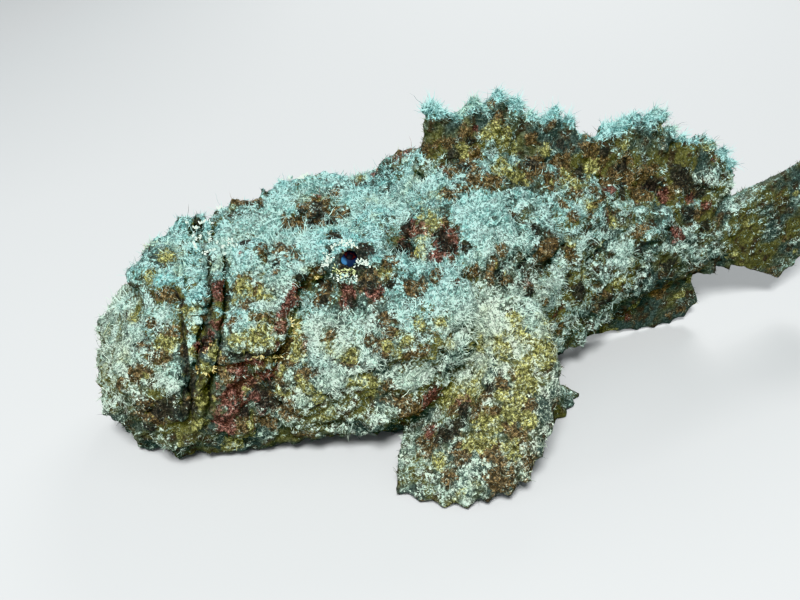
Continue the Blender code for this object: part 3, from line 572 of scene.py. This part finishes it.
def patch_amount(points, places, ragged):
    """How strongly a kind of patch shows at each point, from 0 to 1, with ragged edges."""
    total = np.zeros(len(points))
    for place, radius in places:
        near = np.flatnonzero(np.abs(points[:, 0] - place[0]) < 2.2 * radius)
        away = np.linalg.norm(points[near] - place, axis=1) / radius + ragged[near]
        total[near] = np.maximum(total[near], 1 - fade(away, 0.3, 1.6))
    return total


def on_dorsal(owner):
    return owner == FLESH.index("dorsal_fin")


def rise_of_fin(p, here):
    """The share of the way from the dorsal fin's foot to its edge, for the points that are on it."""
    last = int(LENGTH / FIN_COLUMN)
    column = np.clip((p[:, 0] / FIN_COLUMN).astype(int), 0, last)
    low, high = np.full(last + 1, 1e9), np.full(last + 1, -1e9)
    np.minimum.at(low, column[here], p[here, 2])
    np.maximum.at(high, column[here], p[here, 2])
    rise = np.zeros(len(p))
    rise[here] = ((p[:, 2] - low[column]) / np.maximum(high[column] - low[column], 1))[here]
    return rise


def mouth_offset(p):
    """How far each point lies behind the line of the mouth, in millimetres."""
    return p[:, 0] + MOUTH_WANDERS * noise(p / MOUTH_WAVE, 60) - np.interp(p[:, 2], MOUTH_Z, MOUTH_X)


def groove_offset(p):
    """How far each point lies behind the groove before the lower lip, in millimetres."""
    return mouth_offset(p) + np.interp(p[:, 2], GROOVE_Z, GROOVE_BEFORE)


def beside_eye(p):
    """How far each point lies from the middle of the nearest eye, counted as more on the lid over it."""
    away = left_side(p) - EYE_PLACES["eye_left"]
    return np.linalg.norm(away, axis=1) + LID_NEARER * fade(unit(away) @ OVER_EYE, 0.15, 0.6)


def lip_forms(p):
    """The height of each ridge and line along the lips, and how much of it there is at each point."""
    behind, high = mouth_offset(p), p[:, 2]
    for place, width, height, foot in LIPS:
        yield height, bell(behind - place, width) * fade(high, foot - 6, foot + 4)
    yield GROOVE_DEPTH, bell(groove_offset(p), GROOVE_WIDTH) * fade(high, 18, 30) * (1 - fade(high, 76, 79))
    yield FILLED_HEIGHT, bell(behind + FILLED_BEFORE, FILLED_WIDTH) * fade(high, 66, 71)


def on_lips(p):
    """How much each point is on the lips, where little silt lies: half as much on the lower lip."""
    behind, high = mouth_offset(p), p[:, 2]
    face = fade(groove_offset(p), -2.5, -1.0) * (1 - fade(behind, 7.2, 8.6))
    face *= np.where(behind < -0.5, 0.5, 1.0) * fade(high, 12, 30) * (1 - fade(high, 75, 80))
    return face


def silt_amount(p, up, lift, thin, on_fin, crest, face, pale):
    """How thickly the pale crust lies: more on top, on raised skin, on pale patches and on the fin's edge."""
    along, high, off_fin = p[:, 0], p[:, 2], 1 - on_fin
    silt = 0.41 + 0.26 * up + 0.18 * layered(p, *SILT_BROAD) + 0.08 * lift + 0.08 * fade(high, 20, 70)
    silt += 0.14 * layered(p, *SILT_FINE) - 0.06 * fade(along, 60, 30)
    silt += on_fin * (0.64 * fade(crest, 0.72, 1.02) - 0.30)
    silt += 0.28 * pale - 0.04 * thin * off_fin - 0.42 * face
    silt -= 0.22 * (1 - fade(high, 2, 16)) + 0.24 * fade(along, 205, 245) * off_fin
    silt += 0.22 * fade(along, 130, 170) * layered(p * [0.3, 1, 1], *SILT_STREAKS) * off_fin
    return np.clip(silt, 0, 1)


def warm_amount(p, on_fin, crest):
    """How much the crust leans to cream: low on the body, behind the head and at the dorsal fin's foot."""
    along, off_fin = p[:, 0], 1 - on_fin
    warm = 0.75 * (1 - fade(p[:, 2] + 14 * layered(p, *WARM), 40, 100))
    warm *= 1 - 0.5 * fade(along, 150, 190) * off_fin
    warm += 0.4 * on_fin * (1 - fade(crest, 0.6, 0.9)) + 0.2 * fade(along, 120, 150) * off_fin
    return warm


def markings(points, normal, lift, owner, tree):
    """The named amounts that the skin's and the turf's colours are mixed by."""
    p, up = to_chin(points), normal[:, 2]
    ragged = 0.42 * layered(p, *RAGGED_BROAD) + 0.40 * layered(p, *RAGGED_FINE)
    patch = {kind: patch_amount(p, patch_places(tree, kind), ragged) for kind in PATCHES}
    thin = np.array([0.0 if n in BODY or "pectoral" in n else 1.0 for n in FLESH])[owner]
    on_fin, crest = on_dorsal(owner).astype(float), rise_of_fin(p, on_dorsal(owner))
    face, by_eye, spots = on_lips(p), beside_eye(p), layered(p, *SPOTTED)
    # The lines and grooves of the lips: no silt lies in them, and they are painted dark as shade in them
    line = np.maximum.reduce([amount for height, amount in lip_forms(p) if height < 0])
    growth_and_shade = np.maximum.reduce([share * patch[kind] for kind, share in HIDES_SILT.items()])
    silt = silt_amount(p, up, lift, thin, on_fin, crest, face, patch["pale"])
    # Dark patches, with painted shade where the skin is pressed in
    dark = np.maximum(patch["dark"], 0.9 * fade(-lift, 1.0, 3.2))
    found = {
        "silt": silt * (1 - growth_and_shade) * (1 - line) * fade(by_eye, *SILT_FROM_EYE),
        "yellow": np.maximum(patch["yellow"], 0.7 * fade(-spots, 0.45, 0.9) * (1 - patch["dark"])),
        "brown": np.maximum(patch["brown"], 0.6 * fade(spots, 0.35, 0.9)),
        "red": np.maximum(patch["red"], 0.6 * fade(layered(p, *REDDISH), 0.7, 1.1)),
        # The dark amount also holds painted shade in the lines of the lips and in a ring round the eye
        "dark": np.maximum.reduce([dark, 0.9 * line**2, 1 - fade(by_eye, *DARK_ROUND_EYE)]),
        "olive": fade(layered(p, *OLIVE) + 0.2 * on_fin + 0.5 * face, 0.0, 0.8),
        "warm": warm_amount(p, on_fin, crest),
        # Whiter crust on pale patches where the skin faces up: white crust, and painted light on the tops
        "white_crust_and_top_light": patch["pale"] * fade(up + 0.5 * layered(p, *CRUST_AND_TOP_LIGHT_NOISE), -0.4, 0.6),
    }
    return {name: np.clip(value, 0, 1) for name, value in found.items()}


def set_values(mesh, name, values):
    """Sets a number or a vector for each vertex."""
    kind, field = ("FLOAT_VECTOR", "vector") if values.ndim == 2 else ("FLOAT", "value")
    layer = mesh.attributes.new(name, kind, "POINT")
    layer.data.foreach_set(field, np.ascontiguousarray(values).ravel())


# Turf


def unwrap(points, normal, owner):
    """Where each point of the skin lies on its colour map."""
    p = to_chin(points)
    u = MAP_EDGE + MAP_WIDTH * np.clip(p[:, 0] / LENGTH, 0, 1)
    around = np.arctan2(p[:, 1], p[:, 2] - BODY_MIDDLE) / (2 * math.pi) + 0.5
    v = MAP_EDGE + BODY_ON_MAP * around
    fins = [name for name in FLESH if name not in BODY]
    width = MAP_WIDTH / len(fins)
    for k, name in enumerate(fins):
        low, high = (to_chin(np.array(corner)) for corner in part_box(name))
        here = owner == FLESH.index(name)
        share = np.clip((p[here] - low) / (high - low), 0, 1)
        flat = high[2] - low[2] < FLAT_FIN
        rise = share[:, 1] if flat else share[:, 2]
        front = normal[here][:, 2] > 0 if flat else normal[here][:, 1] < 0
        u[here] = MAP_EDGE + width * (k + 0.02 + 0.96 * share[:, 0])
        v[here] = np.where(front, FRONT_ON_MAP, BACK_ON_MAP) + FIN_ON_MAP * rise
    return np.stack([u, v], axis=1)


def strewn(mesh, weights, count, draw):
    """Random places on the skin, as triangles' corners and how much of each: more where weights are high."""
    corners = triangles(mesh)
    points = coordinates(mesh)
    a, b, c = (points[corners[:, k]] for k in range(3))
    area = np.linalg.norm(np.cross(b - a, c - a), axis=1) * weights[corners].mean(axis=1)
    chosen = corners[draw.choice(len(area), count, p=area / area.sum())]
    r, s = np.sqrt(draw.random(count)), draw.random(count)
    share = np.stack([1 - r, r * (1 - s), r * s], axis=1)
    return chosen, share


def blend_of(values, chosen, share):
    """The values at random places on the skin."""
    return np.einsum("nk,nk...->n...", share, values[chosen])


def filament_faces(rings):
    """The faces of one filament: its foot, its three sides and its tip."""
    faces = [(0, 2, 1)]
    for k in range(rings - 1):
        for j in range(3):
            a, b = 3 * k + j, 3 * k + (j + 1) % 3
            faces += [(a, b, b + 3), (a, b + 3, a + 3)]
    last = 3 * (rings - 1)
    faces += [(last + j, last + (j + 1) % 3, last + 3) for j in range(3)]
    return np.array(faces)


def filaments(roots, heading, bend, length, half, rings):
    """Tapering three-sided filaments: vertices, faces, and each vertex's share of the way to the tip."""
    count = len(roots)
    side = unit(np.cross(heading, bend))
    other = unit(np.cross(heading, side))
    wave = WAVE if rings > 4 else 0.0
    phase = 2 * math.pi * np.arange(count) * WAVE_STEP
    verts, along = [], []
    for k in range(rings):
        t = k / rings
        turn = WAVE_TURN * t + phase
        sway = wave * t * np.stack([np.sin(turn), np.cos(turn)], axis=1)
        way = heading * t + bend * t * t * 0.5 + sway[:, :1] * side + sway[:, 1:] * other
        centre = roots + length[:, None] * way
        radius = half * (1 - TAPER * t)
        for j in range(3):
            angle = 2 * math.pi * j / 3
            verts.append(centre + radius[:, None] * (math.cos(angle) * side + math.sin(angle) * other))
            along.append(np.full(count, t))
    verts.append(roots + length[:, None] * (heading + bend * 0.5))
    along.append(np.full(count, 1.0))
    first = len(verts) * np.arange(count)[:, None, None]
    faces = (filament_faces(rings)[None] + first).reshape(-1, 3)
    return np.stack(verts, axis=1).reshape(-1, 3), faces, np.stack(along, axis=1).ravel()


def mesh_from_arrays(name, verts, faces):
    mesh = bpy.data.meshes.new(name)
    mesh.vertices.add(len(verts))
    mesh.vertices.foreach_set("co", verts.ravel())
    mesh.loops.add(faces.size)
    mesh.loops.foreach_set("vertex_index", faces.ravel().astype(np.int32))
    mesh.polygons.add(len(faces))
    mesh.polygons.foreach_set("loop_start", np.arange(0, faces.size, 3, dtype=np.int32))
    mesh.update(calc_edges=True)
    mesh.shade_smooth()
    return mesh


def turf_room(p, normal):
    """How much room each point has for turf: little below, none at the eye, and clumps with gaps."""
    off_belly = fade(p[:, 2], 2, 10) * (1 - 0.8 * fade(-normal[:, 2], 0.3, 0.8))
    clump = 0.12 + fade(layered(p, *CLUMPED), -0.35, 0.45)
    return off_belly * fade(beside_eye(p), *TURF_FROM_EYE) * clump


def near_lips(p):
    """How near each point lies to the lips, where the turf is thinner and shorter."""
    return fade(p[:, 2], 14, 30) * (1 - fade(p[:, 2], 70, 78)) * (1 - fade(np.abs(mouth_offset(p)), 7, 9.5))


def turf_weights(kind, p, owner, marks, room):
    """How thickly a kind of filament grows at each point."""
    fin = on_dorsal(owner)
    if kind == "turf_long":
        crest = fade(rise_of_fin(p, fin), 0.72, 0.98)
        return room * (0.05 + marks["silt"] ** 2) * (1 + 4 * crest)
    return room * (0.45 + 0.9 * marks["silt"]) * (1 - 0.5 * marks["dark"]) * (1 + 0.7 * fin)


def lifted(directions, out, least):
    """Directions turned off the skin where they leave it by less than the least share."""
    short = np.minimum(np.einsum("nk,nk->n", directions, out) - least, 0)
    return directions - out * short[:, None]


def headings(roots, out, stand, draw):
    """The way each filament leaves the skin: partly outward, partly wild and partly as its neighbours."""
    wild, p = draw.normal(size=roots.shape), to_chin(roots)
    flow = np.stack([noise(p / FLOW_SIZE + 40 * k, FLOW_SEED + k) for k in range(3)], axis=1)
    flow[:, 0] += 0.4 * fade(p[:, 0], 110, 170)
    heading = unit(out * stand + 0.45 * wild + 0.9 * flow + 0.1 * UP)
    return unit(lifted(heading, out, LEAST_RISE))


def turf_piece(name, shape, rings, rooted, place):
    """One mesh of filaments, with their roots' values, and a place on the colour map for each filament."""
    verts, faces, along = filaments(*shape, rings)
    verts[:, 2] = np.maximum(verts[:, 2], ABOVE_FLOOR)
    piece = new_piece(name, mesh_from_arrays(name, verts, faces))
    per = len(verts) // len(place)
    set_values(piece.data, "tip", along)
    for mark, values in rooted.items():
        set_values(piece.data, mark, np.repeat(values, per, axis=0))
    turn = np.tile(2 * math.pi * np.arange(per) / 3, len(place))
    ring = PATCH * (1 - along)[:, None] * np.stack([np.cos(turn), np.sin(turn)], axis=1)
    layer = piece.data.uv_layers.new(name="OFBake")
    layer.data.foreach_set("uv", (np.repeat(place, per, axis=0) + ring)[faces.ravel()].ravel())
    return piece


def build_turf(skin, owner, marks, mark_at):
    """Thousands of fine filaments over the skin, coloured by what grows at their roots and by the painted
    shade there.
    """
    mesh = skin.data
    points, normal = coordinates(mesh), normals(mesh)
    p, places = to_chin(points), unwrap(points, normal, owner)
    room, lips = turf_room(p, normal), near_lips(p)
    draw = np.random.default_rng(TURF_SEED)
    pieces = []
    for kind, (count, lengths, half, stand, curl, rings) in TURFS.items():
        weights = turf_weights(kind, p, owner, marks, room) * (1 - 0.55 * lips)
        spots = strewn(mesh, weights, count, draw)
        roots, out = blend_of(points, *spots), unit(blend_of(normal, *spots))
        rooted = {mark: blend_of(values, *spots) for mark, values in {"mark_at": mark_at, **marks}.items()}
        heading = headings(roots, out, stand, draw)
        bend = lifted(curl * draw.normal(size=(count, 3)), out, LEAST_BEND)
        length = lengths[0] + (lengths[1] - lengths[0]) * draw.random(count) ** 1.5
        length = length * (0.6 + 0.5 * rooted["silt"]) * MM * (1 - 0.45 * blend_of(lips, *spots))
        radius = half * (0.8 + 0.5 * draw.random(count)) * MM
        rooted["vary"] = draw.random(count)
        shape = (roots - out * SUNK * MM, heading, bend, length, radius)
        place = blend_of(places, *spots)
        for number, start in enumerate(range(0, count, PER_PIECE)):
            part = slice(start, start + PER_PIECE)
            cut_shape = [values[part] for values in shape]
            cut_rooted = {mark: values[part] for mark, values in rooted.items()}
            pieces.append(turf_piece(f"{kind}_{number}", cut_shape, rings, cut_rooted, place[part]))
    return pieces


# Materials

COLOURS = {
    "turquoise": (0.125, 0.350, 0.335),
    "white": (0.455, 0.735, 0.700),
    "sand": (0.310, 0.390, 0.290),
    "cream": (0.680, 0.770, 0.620),
    "sage": (0.190, 0.210, 0.130),
    "grey": (0.050, 0.076, 0.064),
    "olive": (0.090, 0.092, 0.030),
    "yellow": (0.400, 0.410, 0.145),
    "lime": (0.500, 0.570, 0.290),
    "tan": (0.105, 0.102, 0.038),
    "umber": (0.042, 0.032, 0.018),
    "orange": (0.215, 0.150, 0.068),
    "maroon": (0.042, 0.018, 0.013),
    "pink": (0.270, 0.130, 0.105),
    "dark": (0.010, 0.012, 0.011),
    "soot": (0.050, 0.048, 0.036),
    "iris_deep": (0.008, 0.012, 0.026),
    "iris_light": (0.028, 0.080, 0.150),
    "ball_black": (0.003, 0.004, 0.006),
    "ball_red": (0.050, 0.014, 0.010),
    "pupil_black": (0.001, 0.001, 0.002),
    "pupil_red": (0.020, 0.006, 0.005),
}
PATCH_KINDS = (  # each kind of patch and the colours of its specks
    ("brown", "umber", "orange", "sage"),
    ("yellow", "tan", "yellow", "sage"),
    ("red", "maroon", "pink", "umber"),
    # The dark kind also holds painted shade in hollows, in the lines of the lips and round the eye
    ("dark", "dark", "soot", "umber"),
)


class Nodes:
    """Adds shader nodes to a tree, each in one short call. A colour may be given by its name."""

    def __init__(self, tree):
        self.tree = tree

    def add(self, kind, inputs=None, **settings):
        node = self.tree.nodes.new(kind)
        for key, value in settings.items():
            setattr(node, key, value)
        self.fill(node, inputs or {})
        return node

    def fill(self, node, inputs):
        for key, value in inputs.items():
            if isinstance(value, bpy.types.NodeSocket):
                self.tree.links.new(value, node.inputs[key])
            else:
                node.inputs[key].default_value = (*COLOURS[value], 1) if isinstance(value, str) else value

    def math(self, operation, a, b=0.0):
        return self.add("ShaderNodeMath", {0: a, 1: b}, operation=operation).outputs[0]

    def sum(self, a, b):
        return self.math("ADD", a, b)

    def times(self, a, b):
        return self.math("MULTIPLY", a, b)

    def plus(self, a, b, share):
        """One value and a share of another."""
        return self.sum(a, self.times(b, share))

    def off_half(self, value, share):
        """A share of how far the value is from a half."""
        return self.times(self.math("SUBTRACT", value, 0.5), share)

    def mix(self, share, a, b):
        return self.add("ShaderNodeMix", {0: share, 6: a, 7: b}, data_type="RGBA").outputs[2]

    def attribute(self, name, output="Fac"):
        return self.add("ShaderNodeAttribute", attribute_name=name).outputs[output]

    def noise(self, place, scale, detail=2.0, rough=0.5, twist=0.0):
        inputs = {"Vector": place, "Scale": scale, "Detail": detail, "Roughness": rough, "Distortion": twist}
        return self.add("ShaderNodeTexNoise", inputs).outputs["Fac"]

    def dimmed(self, colour, share):
        return self.add("ShaderNodeVectorMath", {0: colour, "Scale": share}, operation="SCALE").outputs[0]

    def steps(self, value, low, high):
        inputs = {"Value": value, "From Min": low, "From Max": high}
        return self.add("ShaderNodeMapRange", inputs, interpolation_type="SMOOTHSTEP").outputs[0]


def bare_ground(n, place, middle, odd):
    """Grey and olive skin with umber areas and sage grains."""
    broad = n.noise(place, 1 / 14, 3)
    ground = n.mix(n.steps(n.plus(broad, n.attribute("olive"), 0.35), 0.42, 0.72), "grey", "olive")
    ground = n.mix(n.steps(middle, 0.48, 0.66), ground, "umber")
    return n.mix(n.times(n.steps(odd, 0.60, 0.80), 0.8), ground, "sage")


def pale_crust(n, middle, fine, hole_shade, pick):
    """Turquoise to white crust, cream where it is warm and lime where yellow grows, darker in its pits as
    painted shade.
    """
    bright = n.plus(n.times(middle, 0.7), pick, 0.3)
    # Whiter where the skin faces up on pale patches: partly painted light on the tops
    bright = n.steps(n.plus(bright, n.attribute("white_crust_and_top_light"), 0.05), 0.36, 0.66)
    pale = n.mix(n.attribute("warm"), n.mix(bright, "turquoise", "white"), n.mix(bright, "sand", "cream"))
    pale = n.mix(n.times(n.attribute("yellow"), 0.55), pale, n.mix(bright, "tan", "lime"))
    # Darker in small pits: painted shade in them
    pit_shade = n.times(n.plus(0.55, n.steps(fine, 0.34, 0.58), 0.45), n.plus(0.64, hole_shade, 0.45))
    return n.dimmed(pale, pit_shade)


def marked_colour(n, place, silt_share, grain, pick, odd):
    """The colour at a place: what grows there, with painted shade in hollows, lines and pits, mixed by the
    named amounts and broken up by two finer amounts.
    """
    middle = n.noise(place, 1 / 4.5, 3)
    small = n.noise(place, 1 / 2.6, 2, 0.5, 0.8)
    # Small holes, where painted shade darkens the colour
    hole_shade = n.steps(n.noise(place, 1 / 1.9, 3, 0.6, 0.6), 0.36, 0.58)
    fine = n.noise(place, 1 / 1.3, 2, 0.6, 1.6)
    colour = bare_ground(n, place, middle, odd)
    broken = n.sum(n.off_half(fine, 1.2 * grain), n.off_half(small, 0.9))
    for name, low, high, other in PATCH_KINDS:
        share = n.times(n.steps(n.sum(n.attribute(name), broken), 0.36, 0.66), 0.9)
        specks = n.steps(n.sum(pick, n.math("SUBTRACT", fine, 0.5)), 0.2, 1.0)
        growth_and_shade = n.mix(n.steps(odd, 0.62, 0.8), n.mix(specks, low, high), other)
        colour = n.mix(share, colour, n.dimmed(growth_and_shade, n.plus(0.35, hole_shade, 0.85)))
    cover = n.sum(n.times(n.attribute("silt"), silt_share), n.off_half(fine, 1.5 * grain))
    cover = n.sum(n.sum(cover, n.off_half(small, 1.3)), n.off_half(odd, 0.5))
    return n.mix(n.steps(cover, 0.36, 0.66), colour, pale_crust(n, middle, fine, hole_shade, pick)), fine


def marked_place(n):
    """Where a place lies on the skin, in millimetres."""
    place = n.attribute("mark_at", "Vector")
    return n.add("ShaderNodeVectorMath", {0: place, "Scale": 1 / MM}, operation="SCALE").outputs[0]


def new_material(name):
    """A material, its nodes and its shader."""
    material = bpy.data.materials.new(name)
    material.use_nodes = True
    return material, Nodes(material.node_tree), material.node_tree.nodes["Principled BSDF"]


def skin_material():
    material, n, shader = new_material("overgrown_skin")
    place = marked_place(n)
    pick = n.steps(n.noise(place, 1 / 0.8, 2, 0.6, 1.0), 0.34, 0.66)
    odd = n.noise(place, 1 / 0.95, 1, 0.5, 1.0)
    colour, fine = marked_colour(n, place, 0.92, 1.0, pick, odd)
    # The crust's relief: it raises the bump and darkens the colour where it is low, as painted shade in its
    # dips
    crust = n.noise(place, 1, 4, 0.68, 0.8)
    bump = {"Height": n.plus(fine, crust, 1.4), "Strength": 0.8, "Distance": 0.9 * MM}
    n.fill(shader, {
        "Base Color": n.dimmed(colour, n.plus(0.30, n.steps(crust, 0.42, 0.60), 0.66)),
        "Roughness": 0.85,
        "Specular IOR Level": 0.3,
        "Normal": n.add("ShaderNodeBump", bump).outputs[0],
    })
    return material


def turf_material():
    """The skin's colours, each filament its own tone and darker towards its root as painted shade, with pale
    tips where silt lies.
    """
    material, n, shader = new_material("turf")
    tip, vary = n.attribute("tip"), n.attribute("vary")
    odd = n.math("FRACT", n.times(vary, 13.7))
    colour, _ = marked_colour(n, marked_place(n), 1.0, 0.8, vary, odd)
    reach = n.plus(0.12, n.attribute("silt"), 0.7)
    reach = n.times(reach, n.times(tip, n.steps(odd, 0.5, 0.9)))
    colour = n.mix(reach, colour, n.mix(n.attribute("warm"), "white", "cream"))
    # Each filament its own tone, and darker towards the root: painted shade where the filaments meet the skin
    shade = n.times(n.plus(0.52, vary, 0.82), n.plus(0.5, n.steps(tip, 0.0, 0.6), 0.5))
    n.fill(shader, {"Base Color": n.dimmed(colour, shade), "Roughness": 0.8, "Specular IOR Level": 0.25})
    return material


def finger_material(name, low, high):
    material, n, shader = new_material(name)
    place = n.add("ShaderNodeTexCoord").outputs["Object"]
    spots = n.steps(n.noise(place, 900, 3), 0.40, 0.58)
    n.fill(shader, {"Base Color": n.mix(spots, low, high), "Roughness": 0.6})
    return material


def eye_material(name):
    """Blue iris low on the ball with a lighter crescent of painted light, and a black pupil above it."""
    material, n, shader = new_material(name)
    place = n.add("ShaderNodeTexCoord").outputs["Object"]
    out = n.add("ShaderNodeVectorMath", {0: place}, operation="NORMALIZE").outputs[0]

    def facing(axis):
        inputs = {0: out, 1: mirrored(axis, name)}
        return n.add("ShaderNodeVectorMath", inputs, operation="DOT_PRODUCT").outputs["Value"]

    # The lighter crescent low on the iris: painted light in the eye
    light = n.sum(n.steps(facing(CRESCENT_AXIS), 0.90, 0.995), n.off_half(n.noise(place, 1100, 3), 0.9))
    iris = n.mix(n.steps(light, 0.15, 1.0), "iris_deep", "iris_light")
    ball = n.mix(n.steps(n.noise(place, 420, 2), 0.52, 0.72), "ball_black", "ball_red")
    pupil = n.mix(n.steps(n.noise(place, 700, 2), 0.50, 0.70), "pupil_black", "pupil_red")
    colour = n.mix(n.steps(facing(IRIS_AXIS), 0.73, 0.80), ball, iris)
    colour = n.mix(n.steps(facing(PUPIL_AXIS), 0.900, 0.930), colour, pupil)
    n.fill(shader, {"Base Color": colour, "Roughness": 0.5, "Specular IOR Level": 0.05})
    return material


# Eyes and fingers


def mirrored(axis, name):
    """A direction of the left eye, turned over for the right one."""
    axis = Vector(axis).normalized()
    return Vector((axis.x, -axis.y, axis.z)) if "right" in name else axis


def build_eye(name):
    """An eyeball with a bulging front."""
    ball = bmesh.new()
    bmesh.ops.create_uvsphere(ball, u_segments=64, v_segments=40, radius=EYE_RADIUS * MM)
    axis = mirrored(PUPIL_AXIS, name)
    for vertex in ball.verts:
        vertex.co *= 1 + EYE_BULGE * max(vertex.co.normalized().dot(axis), 0) ** 8
    mesh = bpy.data.meshes.new(name + "_ball")
    ball.to_mesh(mesh)
    ball.free()
    mesh.shade_smooth()
    piece = new_piece(name + "_ball", mesh)
    piece.location = Vector(from_chin(EYE_PLACES[name]))
    mesh.materials.append(eye_material(name))
    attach(piece, "root")
    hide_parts(name)


def build_fingers(tree, name, material, longest, tufts):
    """Small fleshy fingers in tufts on the left side, and the same on the right."""
    draw = np.random.default_rng(FINGER_SEED)
    roots, out = [], []
    for across, down, count in tufts:
        place, normal = seen_at(tree, across, down)
        if place is None:
            continue
        spread = draw.normal(size=(count, 3))
        spread -= (spread @ normal)[:, None] * normal
        roots.append(place + FINGER_SPREAD * spread)
        out.append(unit(normal + 0.55 * spread + 0.2 * draw.normal(size=(count, 3))))
    roots, out = np.concatenate(roots), np.concatenate(out)
    length = draw.uniform(0.5 * longest, longest, len(roots)) * MM
    half = draw.uniform(*FINGER_HALF, len(roots)) * MM
    bend = np.tile(0.3 * UP, (len(roots), 1))
    for side, sign in (("left", 1), ("right", -1)):
        turn = np.array([1, sign, 1])
        foot = from_chin(roots * turn - 0.3 * out * turn)
        verts, faces, _ = filaments(foot, out * turn, bend, length, half, FINGER_RINGS)
        piece_name = f"{name}_{side}"
        piece = new_piece(piece_name, mesh_from_arrays(piece_name, verts, faces[:, ::sign]))
        piece.data.materials.append(material)
        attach(piece, "root")


# Stage


def area_light(name, place, size, power, target):
    light = bpy.data.lights.new(name, "AREA")
    light.shape, light.size, light.energy = "DISK", size, power
    lamp = bpy.data.objects.new(name, light)
    bpy.context.scene.collection.objects.link(lamp)
    lamp.location = place
    lamp.rotation_euler = (Vector(target) - Vector(place)).to_track_quat("-Z", "Y").to_euler()


def build_floor():
    mesh = bpy.data.meshes.new("floor")
    corners = [(x * FLOOR_REACH, y * FLOOR_REACH, 0) for x, y in ((-1, -1), (1, -1), (1, 1), (-1, 1))]
    mesh.from_pydata(corners, [], [(0, 1, 2, 3)])
    floor = new_piece("floor", mesh)
    material, n, shader = new_material("floor")
    n.fill(shader, {"Base Color": FLOOR_COLOUR, "Roughness": 0.9})
    mesh.materials.append(material)
    floor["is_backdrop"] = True


def build_stage():
    scene = bpy.context.scene
    scene.view_settings.view_transform = "Khronos PBR Neutral"
    target = Vector(from_chin(VIEW_TARGET))
    away = Vector((
        math.sin(VIEW_AZIMUTH) * math.cos(VIEW_ELEVATION),
        -math.cos(VIEW_AZIMUTH) * math.cos(VIEW_ELEVATION),
        math.sin(VIEW_ELEVATION),
    ))
    data = bpy.data.cameras.new("camera")
    data.sensor_fit, data.angle = "HORIZONTAL", VIEW_ANGLE
    camera = bpy.data.objects.new("camera", data)
    scene.collection.objects.link(camera)
    camera.location = target + away * VIEW_DISTANCE * MM
    camera.rotation_euler = (-away).to_track_quat("-Z", "Y").to_euler()
    scene.camera = camera
    bpy.context.view_layer.update()

    for name, place, size, power in LIGHTS:
        area_light(name, place, size, power, target)
    world = bpy.data.worlds.new("studio")
    world.use_nodes = True
    background = world.node_tree.nodes["Background"]
    background.inputs["Color"].default_value = WORLD_COLOUR
    background.inputs["Strength"].default_value = WORLD_STRENGTH
    scene.world = world
    build_floor()


def main():
    build_stage()
    skin, owner, lift = build_skin()
    mesh = skin.data
    points, normal = coordinates(mesh), normals(mesh)
    tree = BVHTree.FromPolygons(points.tolist(), triangles(mesh).tolist())
    marks = markings(points, normal, lift, owner, tree)
    set_values(mesh, "mark_at", points)
    for name, values in marks.items():
        set_values(mesh, name, values)
    mesh.materials.clear()
    mesh.materials.append(skin_material())
    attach(skin, "root")
    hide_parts(*FLESH)
    turf = turf_material()
    for piece in build_turf(skin, owner, marks, points):
        piece.data.materials.append(turf)
        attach(piece, "root")
    for kind, (low, high, longest, tufts) in FINGERS.items():
        material = finger_material(f"{kind}_fingers", low, high)
        build_fingers(tree, f"{kind}_tufts", material, longest, tufts)
    for name in EYES:
        build_eye(name)
    bpy.context.view_layer.update()
    boxes = [[list(map(float, corner)) for corner in box] for box in (cad_box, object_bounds())]


main()
